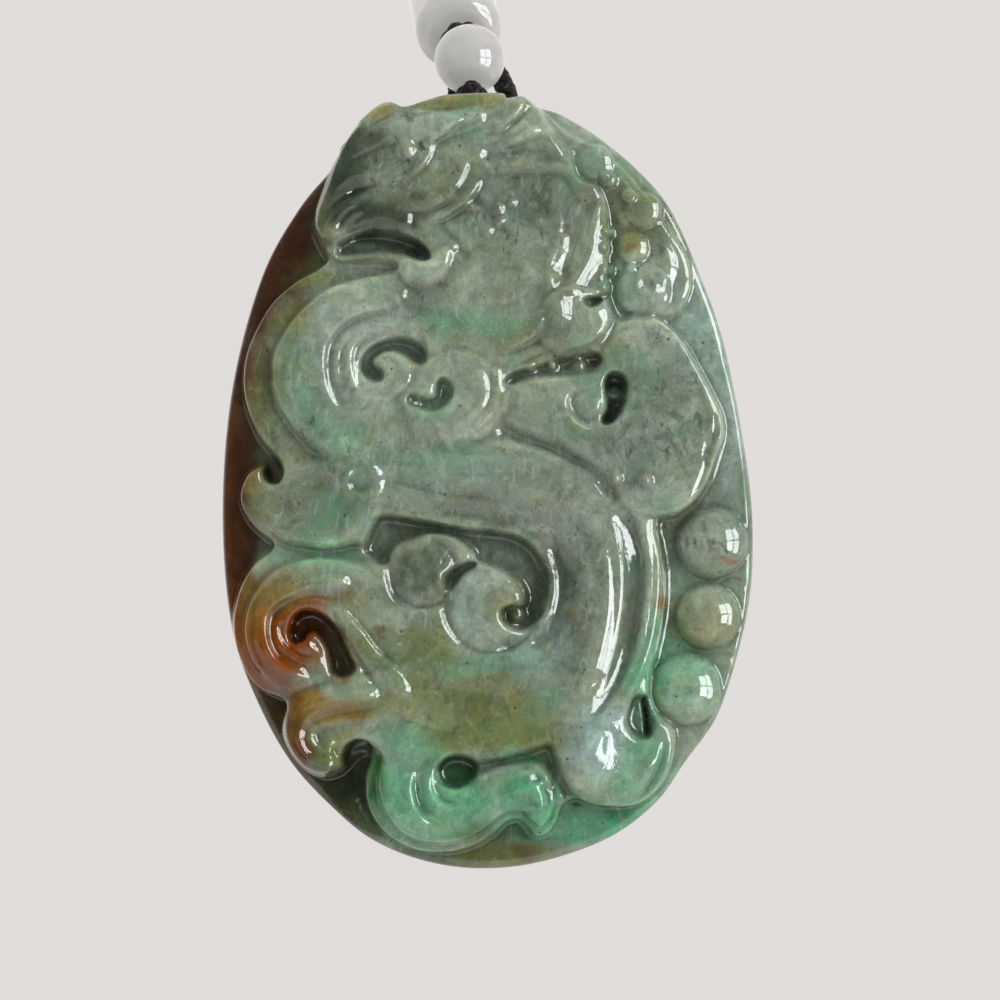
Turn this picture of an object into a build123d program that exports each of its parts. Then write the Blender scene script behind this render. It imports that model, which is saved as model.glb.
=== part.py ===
from build123d import *
import math
import os

import numpy as np

# Carved jade pendant on a black neck cord with two white beads, in the form it has when worn.
# Millimetres. +X is to the right of the carving as it is looked at, the carving faces -Y, +Z is up.
# The origin is at the nape, on the side of the sliding knot that rests on the neck.

# The carving
JADE_WIDTH = 42.4
JADE_HEIGHT = 62.0
PLATE = 4.4             # thickness of the flat plate behind the relief
RELIEF = 7.0            # highest relief above the plate
FRONT_ROUND = 1.5       # rounding of the rim's front edge
BACK_ROUND = 1.1        # bevel of the rim's back edge
FORM_EDGE = 1.0         # width of the slope at a raised form's border
PIT_EDGE = 0.9          # width of the slope at a pit's border
CELLS_WIDE = 56
CELLS_HIGH = 80

# The cord tunnel behind the top edge
TUNNEL_X = -0.4
TUNNEL_BELOW_TOP = 5.0
TUNNEL_FROM_BACK = 4.4  # level with the carving's centre of mass, so that it hangs upright
LOOP_CORD = 1.6
TUNNEL_CLEARANCE = 0.3
BRIDGE_WIDTH = 2.8      # the stone left between the two pockets
BRIDGE_RADIUS = 3.4
POCKET_HALF_WIDTH = 4.6
POCKET_FRONT = 2.8      # from the tunnel's axis forward to the pocket's wall
POCKET_BELOW = 1.7
LOOP_HALF_WIDTH = 2.8   # at the tunnel
LOOP_BEND = 1.6
# Right, back and up from the tunnel to where each leg turns to the spacer knot, by its side
LOOP_TOPS = {-1: (-2.1, 6.5, 4.6), 1: (2.0, 7.2, 8.1)}

# Beads, knots and threads
ROUND_BEAD = 5.74
BARREL_BEAD = 7.2
BARREL_LENGTH = 10.5
BARREL_ROUND = 1.5
THREAD = 1.0
THREAD_CLEARANCE = 0.1
LOWER_KNOT = 2.7
SPACER_KNOT = 4.0
TOP_KNOT = 4.8
KNOT_GAP = 0.15

# Places on the strand: right, back and up
BEAD_FROM_TUNNEL = (-0.97, 4.0)
BEAD_OVER_TOP = 0.5     # the round bead's gap above the carving's top edge
LOWER_KNOT_WAY = Vector(0.2, -2.4, -3.65)
SPACER_KNOT_WAY = Vector(-0.62, 4.65, 1.8)
BEAD_AXIS = Vector(-0.09, 0.79, 0.61)
BARREL_AXIS = Vector(-0.10, 0.88, 0.46)

# The neck cord
NECK_CORD = 2.2
SLIDE_KNOT = 5.0
SLIDE_KNOT_LENGTH = 14.0
SLIDE_KNOT_GAP = 0.4
HANG_Y = -154.0         # the tunnel's centre, from the nape
HANG_Z = -206.5

# The right strand from the sliding knot, over the shoulder and down the chest. The left one mirrors it.
NECK_ROUTE = [
    (25, -1, -1),
    (43, -11, -5),
    (56, -26, -13),
    (62, -43, -25),
    (61, -60, -40),
    (56, -76, -58),
    (48, -90, -79),
    (38, -102, -101),
    (27, -112, -125),
    (16, -120, -150),
    (7, -127, -174),
]

# The tables below give places on a drawing laid over the carving: 0 to 1 from its left to its right and
# from its top to its bottom. The carving covers DRAWN_WIDE by DRAWN_HIGH of it, about DRAWN_CENTRE.
DRAWN_CENTRE = (0.4865, 0.482)
DRAWN_WIDE = 0.525
DRAWN_HIGH = 0.768

OUTLINE = [
    (.452, .100), (.500, .099), (.506, .104), (.521, .102), (.531, .106), (.538, .111), (.560, .118),
    (.599, .142), (.639, .176), (.668, .212), (.694, .269), (.720, .343), (.742, .455), (.749, .536),
    (.743, .613), (.717, .705), (.683, .758), (.652, .801), (.599, .838), (.518, .862), (.439, .860),
    (.366, .831), (.300, .771), (.258, .699), (.232, .620), (.224, .505), (.234, .385), (.263, .276),
    (.300, .208), (.336, .164), (.344, .143), (.378, .112), (.392, .107), (.406, .112), (.427, .106),
]

# Raised forms, each laid over the ones before it: name, height at its border and at its crown (shares of
# RELIEF), how far inside the border the crown begins, and the outline
FORMS = [
    ("field", .40, .42, .010, [
        (.345, .150), (.400, .112), (.500, .096), (.600, .138), (.690, .240), (.735, .380),
        (.752, .520), (.748, .620), (.722, .710), (.680, .765), (.640, .800), (.560, .800),
        (.480, .790), (.400, .790), (.340, .740), (.300, .700), (.300, .560), (.290, .480),
        (.300, .400), (.320, .300), (.330, .230)]),
    ("outer scroll", .38, .52, .020, [
        (.400, .262), (.360, .262), (.330, .262), (.305, .279), (.278, .302), (.260, .330),
        (.249, .360), (.248, .395), (.257, .425), (.275, .452), (.290, .475), (.330, .480),
        (.420, .440), (.420, .300)]),
    ("breast", .58, .72, .040, [
        (.432, .262), (.452, .220), (.500, .180), (.560, .184), (.600, .212), (.600, .250),
        (.590, .290), (.560, .335), (.520, .352), (.480, .352), (.440, .330), (.420, .300)]),
    ("scroll and tail", .58, .78, .036, [
        (.432, .288), (.400, .277), (.360, .283), (.322, .298), (.293, .328), (.279, .358),
        (.279, .392), (.292, .420), (.318, .452), (.350, .468), (.376, .485), (.378, .520),
        (.372, .560), (.380, .640), (.388, .700), (.430, .742), (.480, .750), (.530, .744),
        (.570, .730), (.600, .715), (.628, .690), (.648, .650), (.659, .610), (.660, .570),
        (.652, .530), (.628, .505), (.605, .478), (.580, .460), (.545, .444), (.505, .434),
        (.480, .420), (.470, .380), (.458, .340)]),
    ("small scroll", .68, .80, .024, [
        (.425, .366), (.445, .354), (.462, .352), (.480, .358), (.495, .370), (.500, .388),
        (.495, .410), (.482, .427), (.460, .438), (.430, .442), (.400, .425), (.395, .400),
        (.405, .380)]),
    ("left lobe", .56, .70, .026, [
        (.300, .465), (.268, .466), (.256, .468), (.245, .487), (.244, .500), (.255, .523),
        (.275, .540), (.310, .544), (.345, .545), (.361, .541), (.378, .505), (.383, .480),
        (.375, .462), (.340, .450)]),
    ("amber border", .36, .48, .012, [
        (.300, .556), (.262, .556), (.244, .585), (.238, .618), (.243, .655), (.265, .685),
        (.290, .698), (.330, .690), (.395, .690), (.420, .640), (.395, .600), (.365, .565),
        (.330, .553)]),
    ("amber scroll", .50, .68, .030, [
        (.325, .560), (.292, .564), (.267, .582), (.252, .608), (.251, .640), (.262, .662),
        (.283, .680), (.310, .684), (.345, .684), (.375, .676), (.392, .640), (.375, .595),
        (.355, .568)]),
    ("lower left scroll", .38, .56, .020, [
        (.335, .690), (.296, .694), (.286, .710), (.288, .738), (.302, .760), (.325, .774),
        (.345, .766), (.360, .745), (.385, .735), (.410, .710), (.390, .690)]),
    ("foot scroll", .44, .64, .026, [
        (.378, .748), (.367, .780), (.374, .806), (.395, .834), (.430, .847), (.465, .845),
        (.492, .832), (.510, .814), (.525, .820), (.533, .832), (.547, .826), (.559, .805),
        (.556, .783), (.540, .766), (.515, .757), (.480, .762), (.450, .748), (.410, .742)]),
    ("wing", .56, .86, .030, [
        (.606, .335), (.625, .320), (.652, .322), (.680, .345), (.700, .382), (.716, .412),
        (.718, .440), (.705, .480), (.685, .506), (.655, .518), (.625, .506), (.600, .478),
        (.560, .450), (.520, .436), (.500, .425), (.502, .395), (.520, .382), (.560, .378),
        (.598, .373), (.596, .350)]),
    ("right crest", .44, .60, .018, [
        (.660, .235), (.685, .262), (.687, .290), (.672, .314), (.640, .322), (.612, .318),
        (.606, .290), (.612, .262), (.600, .230), (.625, .215)]),
    ("head", .48, .80, .040, [
        (.336, .165), (.327, .187), (.317, .215), (.317, .235), (.328, .243), (.350, .228),
        (.385, .226), (.425, .236), (.445, .240), (.465, .226), (.490, .196), (.530, .176),
        (.560, .160), (.545, .125), (.520, .104), (.450, .100), (.400, .112), (.360, .126)]),
    ("pale bulb", .56, .76, .016, [
        (.401, .265), (.425, .265), (.440, .250), (.453, .256), (.448, .275), (.430, .287),
        (.410, .287), (.401, .277)]),
    ("bulb", .50, .92, .044, [
        (.553, .750), (.552, .725), (.560, .706), (.585, .694), (.612, .690), (.640, .690),
        (.664, .705), (.672, .740), (.658, .780), (.630, .799), (.595, .798), (.573, .790),
        (.560, .772)]),
]

# Ridges with a round back: name, height of the crown, and rows of place and half width
RIDGES = [
    ("tail edge", .86, [
        (.628, .520, .006), (.650, .548, .014), (.657, .590, .015), (.650, .630, .015), (.632, .670, .014),
        (.612, .700, .010)]),
    ("long feather", .96, [
        (.600, .205, .008), (.597, .240, .014), (.588, .275, .020), (.572, .305, .026)]),
    ("brow", .90, [(.405, .148, .010), (.440, .132, .020), (.480, .122, .022), (.525, .112, .014)]),
    ("leaf", .66, [(.335, .600, .008), (.355, .630, .018), (.380, .665, .018), (.410, .690, .010)]),
]

# Domes: name, place, radius, and the heights of the border and of the top
DOMES = [
    ("upper ball", .710, .541, .036, .20, .80),
    ("middle ball", .707, .613, .033, .20, .76),
    ("lower ball", .685, .682, .036, .20, .78),
    ("shoulder", .576, .322, .034, .55, 1.00),
    ("cloud curl", .425, .570, .036, .40, .80),
    ("spiral", .495, .600, .048, .40, .84),
    ("cheek", .438, .178, .032, .60, .94),
    ("scroll eye", .393, .375, .021, .50, .80),
    ("coin", .645, .289, .016, .55, .74),
    ("bump", .629, .250, .015, .45, .66),
    ("crest bump", .590, .158, .018, .45, .62),
    ("crest ring", .638, .208, .013, .45, .60),
]

# Pits: name, height of the floor, and rows of place and half width
PITS = [
    ("hook", .12, [
        (.424, .358, .007), (.405, .345, .010), (.383, .349, .010), (.371, .362, .010),
        (.374, .376, .009), (.382, .380, .006)]),
    ("comma", .12, [(.412, .402, .008), (.430, .407, .010), (.447, .398, .010), (.446, .385, .008)]),
    ("crescent", .10, [(.346, .251, .009), (.385, .247, .011), (.426, .252, .009)]),
    ("slot", .15, [(.506, .381, .006), (.535, .373, .008), (.565, .366, .010), (.590, .362, .008)]),
    ("wing pit", .05, [(.612, .382, .009), (.614, .400, .011), (.606, .417, .008)]),
    ("wing hole", .10, [(.667, .522, .009), (.668, .532, .009)]),
    ("triangle", .12, [(.384, .550, .010), (.390, .528, .014), (.420, .528, .010), (.460, .536, .010)]),
    ("deep curve", .10, [
        (.460, .536, .010), (.500, .548, .014), (.528, .570, .014), (.537, .598, .012),
        (.522, .615, .010), (.506, .606, .006)]),
    ("small pit", .20, [(.453, .580, .006), (.470, .566, .008)]),
    ("amber hook", .10, [
        (.300, .632, .006), (.308, .620, .008), (.325, .622, .010), (.338, .640, .011),
        (.348, .662, .010)]),
    ("corner", .08, [(.350, .752, .012), (.362, .750, .012)]),
    ("foot pit", .12, [
        (.455, .771, .015), (.480, .765, .010), (.505, .757, .007), (.532, .750, .007),
        (.548, .758, .006), (.562, .784, .006)]),
    ("teardrop", .08, [(.641, .700, .008), (.641, .718, .012), (.640, .728, .010)]),
]

half_width = JADE_WIDTH / 2
half_height = JADE_HEIGHT / 2
tunnel_z = half_height - TUNNEL_BELOW_TOP
hang = Vector(TUNNEL_X, HANG_Y, HANG_Z)
jade_back_y = HANG_Y + TUNNEL_FROM_BACK
jade_centre_z = HANG_Z - tunnel_z
bead_up = TUNNEL_BELOW_TOP + BEAD_OVER_TOP + ROUND_BEAD / 2
bead = hang + Vector(*BEAD_FROM_TUNNEL, bead_up)
lower_knot_at = bead + LOWER_KNOT_WAY.normalized() * (ROUND_BEAD / 2 + KNOT_GAP + LOWER_KNOT / 2)
spacer_knot_at = bead + SPACER_KNOT_WAY.normalized() * (ROUND_BEAD / 2 + KNOT_GAP + SPACER_KNOT / 2)
bead_way = BEAD_AXIS.normalized()
barrel_way = BARREL_AXIS.normalized()
barrel_start = SPACER_KNOT / 2 + KNOT_GAP
barrel_middle = spacer_knot_at + barrel_way * (barrel_start + BARREL_LENGTH / 2)
top_knot_reach = barrel_start + BARREL_LENGTH + KNOT_GAP + TOP_KNOT / 2
top_knot_at = spacer_knot_at + barrel_way * top_knot_reach


def curve_through(points, closed, steps=6):
    """A smooth curve through the points, as an array of points on it."""
    p = np.array(points, float)
    count = len(p) if closed else len(p) - 1
    out = []
    for i in range(count):
        if closed:
            a, b, c, d = p[i - 1], p[i], p[(i + 1) % len(p)], p[(i + 2) % len(p)]
        else:
            b, c = p[i], p[i + 1]
            a = p[i - 1] if i else 2 * b - c
            d = p[i + 2] if i + 2 < len(p) else 2 * c - b
        for k in range(steps):
            t = k / steps
            out.append(b + 0.5 * t * (c - a + t * (2 * a - 5 * b + 4 * c - d + t * (3 * (b - c) + d - a))))
    if not closed:
        out.append(p[-1])
    return np.array(out)


def place_x(drawn):
    return (drawn - DRAWN_CENTRE[0]) * JADE_WIDTH / DRAWN_WIDE


def place_z(drawn):
    return (DRAWN_CENTRE[1] - drawn) * JADE_HEIGHT / DRAWN_HIGH


def length(drawn):
    return drawn * JADE_WIDTH / DRAWN_WIDE


def to_size(rows):
    """Drawn rows in millimetres: across, up, and a half width where there is one."""
    return np.array([[place_x(row[0]), place_z(row[1])] + [length(w) for w in row[2:]] for row in rows])


def smooth(t):
    t = np.clip(t, 0, 1)
    return t * t * (3 - 2 * t)


def nearest(x, z, path, closed):
    """Distance from each point to the path, and the path's width beside it if it has one."""
    ends = np.roll(path, -1, axis=0) if closed else path[1:]
    best = np.full(x.shape, 1e9)
    width = np.ones(x.shape)
    for a, b in zip(path, ends):
        ab = b[:2] - a[:2]
        t = np.clip(((x - a[0]) * ab[0] + (z - a[1]) * ab[1]) / max(ab @ ab, 1e-9), 0, 1)
        gap = np.hypot(x - a[0] - t * ab[0], z - a[1] - t * ab[1])
        near = gap < best
        best = np.where(near, gap, best)
        if len(a) > 2:
            width = np.where(near, a[2] + t * (b[2] - a[2]), width)
    return best, width


def depth_inside(x, z, loop):
    """Distance to the closed loop, positive inside it."""
    gap, _ = nearest(x, z, loop, True)
    inside = np.zeros(x.shape, bool)
    for a, b in zip(loop, np.roll(loop, -1, axis=0)):
        crosses = (a[1] > z) != (b[1] > z)
        rise = b[1] - a[1] if b[1] != a[1] else 1e-9
        inside ^= crosses & (x < a[0] + (z - a[1]) * (b[0] - a[0]) / rise)
    return np.where(inside, gap, -gap)


def bulge(t):
    """A quarter circle's rise, from 0 at t = 0 to 1 at t = 1."""
    return np.sqrt(1 - (1 - np.clip(t, 0, 1)) ** 2)


def relief(x, z):
    """Height of the carving above the plate, as a share of RELIEF."""
    h = np.zeros(x.shape)
    for _, border, crown, reach, outline in FORMS:
        depth = depth_inside(x, z, curve_through(to_size(outline), True))
        form = border + (crown - border) * bulge(depth / length(reach))
        h += (form - h) * smooth(depth / FORM_EDGE + 0.5)
    for _, crown, rows in RIDGES:
        gap, width = nearest(x, z, curve_through(to_size(rows), False), False)
        h += np.clip(crown - h, 0, None) * bulge(1 - gap / width)
    for _, across, down, drawn_radius, border, top in DOMES:
        radius = length(drawn_radius)
        away = np.hypot(x - place_x(across), z - place_z(down))
        form = border + (top - border) * bulge(1 - away / radius)
        h += (form - h) * smooth((radius - away) / FORM_EDGE + 0.5)
    for _, floor, rows in PITS:
        gap, width = nearest(x, z, curve_through(to_size(rows), False), False)
        h += np.clip(floor - h, None, 0) * smooth((width - gap) / PIT_EDGE + 0.5)
    return h


def rim_radius(angles):
    """Distance from the carving's centre to its outline, at each angle."""
    loop = curve_through(to_size(OUTLINE), True, 8)
    turn = np.unwrap(np.arctan2(loop[:, 1], loop[:, 0]))
    order = np.argsort(turn % math.tau)
    return np.interp(angles % math.tau, (turn % math.tau)[order], np.hypot(*loop[order].T), period=math.tau)


def jade_grid():
    """The front face: a square grid drawn out to the outline, and its height over the back."""
    a, b = np.meshgrid(np.linspace(-1, 1, CELLS_WIDE + 1), np.linspace(-1, 1, CELLS_HIGH + 1), indexing="ij")
    across = a * np.sqrt(1 - b * b / 2)
    up = b * np.sqrt(1 - a * a / 2)
    angle = np.arctan2(up * half_height, across * half_width)
    radius = rim_radius(angle) * np.hypot(across, up)
    x, z = radius * np.cos(angle), radius * np.sin(angle)
    height = PLATE + RELIEF * relief(x, z)
    inset = np.clip(1 - (rim_radius(angle) - radius) / FRONT_ROUND, 0, 1)
    return x, z, height - FRONT_ROUND * (1 - np.sqrt(1 - inset ** 2))


def triangle(a, b, c):
    return Face(Wire.make_polygon([a, b, c]))


def band(upper, lower):
    """Triangles between two rings that have as many points."""
    faces = []
    for i in range(len(upper)):
        j = (i + 1) % len(upper)
        faces += [triangle(upper[i], upper[j], lower[j]), triangle(upper[i], lower[j], lower[i])]
    return faces


def carved_body():
    """The carving as one faceted solid, its centre over the origin and its flat back at y = 0."""
    x, z, height = jade_grid()
    node = [[Vector(float(x[i, j]), -float(height[i, j]), float(z[i, j]))
             for j in range(CELLS_HIGH + 1)] for i in range(CELLS_WIDE + 1)]
    faces = []
    for i in range(CELLS_WIDE):
        for j in range(CELLS_HIGH):
            a, b, c, d = node[i][j], node[i + 1][j], node[i + 1][j + 1], node[i][j + 1]
            if (i < CELLS_WIDE / 2) == (j < CELLS_HIGH / 2):
                faces += [triangle(a, b, c), triangle(a, c, d)]
            else:
                faces += [triangle(a, b, d), triangle(b, c, d)]
    rim = [node[i][0] for i in range(CELLS_WIDE)]
    rim += [node[CELLS_WIDE][j] for j in range(CELLS_HIGH)]
    rim += [node[i][CELLS_HIGH] for i in range(CELLS_WIDE, 0, -1)]
    rim += [node[0][j] for j in range(CELLS_HIGH, 0, -1)]
    side = [Vector(p.X, -BACK_ROUND, p.Z) for p in rim]
    inset = 1 - BACK_ROUND / half_width
    back = [Vector(p.X * inset, 0, p.Z * inset) for p in rim]
    faces += band(rim, side) + band(side, back) + [Face(Wire.make_polygon(back))]
    return Solid(Shell(faces))


def jade_carving():
    """The carving with its two pockets and the tunnel through the bridge between them."""
    body = carved_body()
    axis = Pos(TUNNEL_X, -TUNNEL_FROM_BACK, tunnel_z)
    top = TUNNEL_BELOW_TOP + 2 * FRONT_ROUND
    deep = POCKET_FRONT + TUNNEL_FROM_BACK + BACK_ROUND
    pocket = Box(2 * POCKET_HALF_WIDTH, deep, POCKET_BELOW + top)
    pocket = Pos(0, deep / 2 - POCKET_FRONT, (top - POCKET_BELOW) / 2) * pocket
    inner = pocket.edges().filter_by(Axis.X).sort_by(Axis.Z)[:2].sort_by(Axis.Y)[:1]
    pocket = fillet(inner, POCKET_BELOW * 0.8)
    bridge = Rot(0, 90, 0) * Cylinder(BRIDGE_RADIUS, BRIDGE_WIDTH)
    bridge += Pos(0, 0, -BRIDGE_RADIUS / 2) * Box(BRIDGE_WIDTH, 2 * BRIDGE_RADIUS, BRIDGE_RADIUS)
    bore = Rot(0, 90, 0) * Cylinder(LOOP_CORD / 2 + TUNNEL_CLEARANCE, BRIDGE_WIDTH * 2)
    body = body - axis * (pocket - bridge) - axis * bore
    return Pos(0, jade_back_y, jade_centre_z) * body.solids().sort_by(SortBy.VOLUME)[-1]


def along(centre, way):
    """A plane at the centre whose normal runs along the way."""
    return Plane(origin=centre, z_dir=way)


def tube(points, diameter, sharp=None):
    """A round cord along straight runs joined by tangent arcs. sharp gives the radius of the corners
    that are folded tight, by their number."""
    radii = []
    for i in range(1, len(points) - 1):
        before, after = points[i] - points[i - 1], points[i + 1] - points[i]
        half_turn = math.radians(before.get_angle(after)) / 2
        radii.append(0.45 * min(before.length, after.length) / math.tan(half_turn))
        if sharp and i in sharp:
            radii[-1] = sharp[i]
    path = FilletPolyline(*points, radius=radii)
    start = Plane(origin=path @ 0, z_dir=path % 0)
    cord = sweep(start * Circle(diameter / 2), path=path)
    expected = math.pi * (diameter / 2) ** 2 * path.length
    print(f"  length {path.length:.1f}, volume {cord.volume:.1f} for {expected:.1f}, radii",
          [round(r, 1) for r in radii])
    return cord


def hanging_loop():
    """The cord through the tunnel, with both legs leaning back and up to the spacer knot."""
    legs = []
    for side in (-1, 1):
        low = hang + Vector(side * LOOP_HALF_WIDTH, 0, 0)
        bend = hang + Vector(*LOOP_TOPS[side])
        rise = (spacer_knot_at - bend).normalized()
        end = spacer_knot_at - rise * (SPACER_KNOT / 2 + LOOP_CORD / 4)
        legs.append([end, bend, low])
    return tube(legs[0] + legs[1][::-1], LOOP_CORD, {2: LOOP_BEND, 3: LOOP_BEND})


def knot(centre, diameter):
    return Pos(*centre) * Sphere(diameter / 2)


def neck_strand(side):
    """One strand of the neck cord, from the sliding knot to the top knot."""
    points = [Vector(side * (SLIDE_KNOT_LENGTH / 2 + SLIDE_KNOT_GAP), SLIDE_KNOT / 2, 0)]
    for i, (x, y, z) in enumerate(NECK_ROUTE, 1):
        points.append(Vector(side * x + top_knot_at.X * i / len(NECK_ROUTE), y, z))
    rise = (points[-1] - top_knot_at).normalized()
    points.append(top_knot_at + rise * (TOP_KNOT / 2 + NECK_CORD / 4))
    return tube(points, NECK_CORD)


def bore(through):
    return Cylinder(THREAD / 2 + THREAD_CLEARANCE, 2 * through)


def round_bead():
    return Pos(*bead) * Sphere(ROUND_BEAD / 2) - along(bead, bead_way) * bore(ROUND_BEAD)


def barrel_bead():
    body = Cylinder(BARREL_BEAD / 2, BARREL_LENGTH)
    body = fillet(body.edges().filter_by(GeomType.CIRCLE), BARREL_ROUND)
    return along(barrel_middle, barrel_way) * (body - bore(BARREL_LENGTH))


def thread(centre, way, through):
    """The stretch of cord inside a bead, as long as the bead."""
    return along(centre, way) * Cylinder(THREAD / 2, through)


def slide_knot():
    body = Pos(0, SLIDE_KNOT / 2, 0) * Rot(0, 90, 0) * Cylinder(SLIDE_KNOT / 2, SLIDE_KNOT_LENGTH)
    return fillet(body.edges().filter_by(GeomType.CIRCLE), SLIDE_KNOT / 5)


def build():
    parts = {
        "jade_carving": jade_carving(),
        "hanging_loop": hanging_loop(),
        "lower_knot": knot(lower_knot_at, LOWER_KNOT),
        "bead_thread": thread(bead, bead_way, ROUND_BEAD),
        "round_bead": round_bead(),
        "spacer_knot": knot(spacer_knot_at, SPACER_KNOT),
        "barrel_thread": thread(barrel_middle, barrel_way, BARREL_LENGTH),
        "barrel_bead": barrel_bead(),
        "top_knot": knot(top_knot_at, TOP_KNOT),
        "neck_cord_left": neck_strand(-1),
        "neck_cord_right": neck_strand(1),
        "slide_knot": slide_knot(),
    }
    os.makedirs("parts", exist_ok=True)
    for name, shape in parts.items():
        export_step(shape, f"parts/{name}.step")
    mass_centre = parts["jade_carving"].center(CenterOf.MASS)
    print("carving's centre of mass from its back:", round(jade_back_y - mass_centre.Y, 2),
          "and across:", round(mass_centre.X, 2))


build()
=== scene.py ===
# The looks of a carved jade pendant on a black neck cord with two white beads.
# Metres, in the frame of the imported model. Tables of the carving are on a drawing laid over it.
import math

import bmesh
import bpy
import numpy as np
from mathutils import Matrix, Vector
from mathutils.kdtree import KDTree

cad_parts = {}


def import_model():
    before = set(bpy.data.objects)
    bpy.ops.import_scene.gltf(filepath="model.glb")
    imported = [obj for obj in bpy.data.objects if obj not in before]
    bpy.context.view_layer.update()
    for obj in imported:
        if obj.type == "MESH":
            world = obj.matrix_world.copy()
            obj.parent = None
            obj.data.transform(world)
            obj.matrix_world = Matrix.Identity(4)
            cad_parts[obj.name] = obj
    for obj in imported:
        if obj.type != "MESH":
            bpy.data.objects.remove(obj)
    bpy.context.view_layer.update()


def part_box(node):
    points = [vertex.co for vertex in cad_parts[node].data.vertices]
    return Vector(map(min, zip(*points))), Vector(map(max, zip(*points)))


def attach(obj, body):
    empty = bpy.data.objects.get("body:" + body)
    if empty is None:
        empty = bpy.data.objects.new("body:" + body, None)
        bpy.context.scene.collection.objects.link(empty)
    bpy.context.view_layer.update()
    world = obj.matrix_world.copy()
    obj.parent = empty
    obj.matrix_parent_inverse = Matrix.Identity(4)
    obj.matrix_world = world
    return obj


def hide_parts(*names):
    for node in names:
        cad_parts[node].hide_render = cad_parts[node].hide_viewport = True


# The camera and the room
CAMERA = (0.00109, -0.4522, -0.23395)
LENS = 133.8
SENSOR = 36
CLIP_START = 0.01
PALE = (0.745, 0.720, 0.705)
ROOM_DARK = (0.16, 0.17, 0.17)
MIRROR_DARK = (0.05, 0.055, 0.055)
FLOOR_BELOW = 0.33
FLOOR_RADIUS = 1.6
FLOOR_SIDES = 64

# The room's directions, by how far they point back: where the dark behind the camera ends and where the room
# is fully pale, as it lights the pieces and as they mirror it
LIT_FADE = (-0.9, 0.5)
MIRROR_FADE = (-0.1, 0.7)

# Lights, each by its azimuth, elevation and distance. A pane's row is its place across and up the window,
# its width and its height. A soft light's row ends with its width and its power.
WINDOW = (55, 5, 0.60)
PANES = [
    (-0.110, -0.135, 0.195, 0.250),
    (0.110, -0.135, 0.195, 0.250),
    (-0.110, 0.125, 0.195, 0.210),
    (0.110, 0.150, 0.195, 0.260),
]
PANE_POWER = 1.5
PANE_COLOUR = (0.95, 0.98, 1.0)
SOFT_LIGHTS = [
    ("soft right", 55, 20, 0.8, 0.7, 5.5),
    ("soft left", -40, 50, 0.9, 0.9, 6.0),
]
SOFT_COLOUR = (1.0, 0.99, 0.97)

# The carving, as in the solid model
PLATE = 0.0044
RELIEF = 0.0070
FRONT_ROUND = 0.0007
BACK_ROUND = 0.0011
BACK_RINGS = 6

# The carving's mesh and curves
CELLS_WIDE = 236
CELLS_HIGH = 344
RIM_DENSER = 0.25       # how much closer the mesh lines lie at the rim
OPEN_STEPS = 6          # points that a curve gets between two places
FORM_STEPS = 4
RIM_STEPS = 8
TINY = 1e-12            # keeps a length of nothing from being divided by
SAME_POINT = 1e-6       # within which a point of the cut mesh is one of the body's own
FACES_BACK = 0.999      # how far a face's normal must point back to be part of the flat back

# Slopes, on the drawing
FORM_EDGE = 0.0042      # width of the slope at a raised form's border
STEP_EDGE = 0.0016
PIT_EDGE = 0.0042
HIGHLIGHT_LINE_INSIDE = 0.0012    # where the painted highlight line at a form's border lies, and its width
HIGHLIGHT_LINE_WIDTH = 0.0014
PIT_BOWL = 0.10         # how much higher a pit's floor is at its border, and how far that reaches
PIT_REACH = 0.008
RIDGE_REACH = 0.04      # how far from its line each kind can change the stone
TUBE_REACH = 0.05
GROOVE_REACH = 0.02
STEP_FADE = 0.6         # how fast a line runs out towards its ends
GROOVE_FADE = 0.5

# The cord tunnel and the two pockets that it opens into, from its axis
TUNNEL_FROM_TOP = 0.0050
TUNNEL_FROM_BACK = 0.0044
TUNNEL_X = -0.0004
TUNNEL_RADIUS = 0.0011
TUNNEL_REACH = 0.004
BRIDGE_HALF_WIDTH = 0.0014
BRIDGE_RADIUS = 0.0034
POCKET_HALF_WIDTH = 0.0046
POCKET_FRONT = 0.0028
POCKET_BELOW = 0.0017
POCKET_ROUND = 0.00136
CUT_BEYOND = 0.002      # how far the cuts run out of the stone, and into each other
CUT_OVERLAP = 1e-5

# Beads
THREAD_RADIUS = 0.0005
BORE_RADIUS = 0.0006
BEAD_SIDES = 96
ROUND_BEAD_EDGE = 0.0001
BARREL_RADIUS = 0.0036
BARREL_LENGTH = 0.0105
BARREL_ROUND = 0.0016
BARREL_EDGE = 0.00015
BARREL_WAY = Vector((-0.10, 0.88, 0.46)).normalized()
THREAD_PAST_MIDDLE = 0.0036

# Wound knots. Thickness and core are shares of the knot's radius. How flat the strand is, how deep it lies
# and how far it lifts over a crossing are shares of its thickness. The end knot sits a little up its bead.
KNOT_LEADS = 3
KNOT_BIGHTS = 7
KNOT_TILT = math.radians(66)
KNOT_PHASE = 0.4
KNOT_THICK = 0.20
KNOT_FLAT = 1.25
KNOT_UNDER = 1.45
KNOT_LIFT = 0.42
KNOT_CORE = 0.80
END_KNOT_UP = 0.0002
END_KNOT_GROW = 1.06

# Braided cord. Thickness and core are shares of its radius, the strands' width of their room round it, and
# how deep a strand lies and how far it lifts over the next are shares of its thickness.
BRAID_THICK = 0.26
BRAID_WIDE = 0.702
BRAID_UNDER = 1.15
BRAID_LIFT = 0.45
BRAID_CORE = 0.62

# The neck cord and its sliding knot
NECK_RADIUS = 0.0011
NECK_PITCH = 0.0062
NECK_PAIRS = 4
NECK_SPACING = 0.00042
NECK_IN_SLIDE = 0.0004
NECK_IN_KNOT = 0.0016
SLIDE_RADIUS = 0.0025
SLIDE_LENGTH = 0.0140
SLIDE_THICK = 0.00085
SLIDE_TIGHT = 0.94
SLIDE_CORE_SHORT = 0.0002

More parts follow.
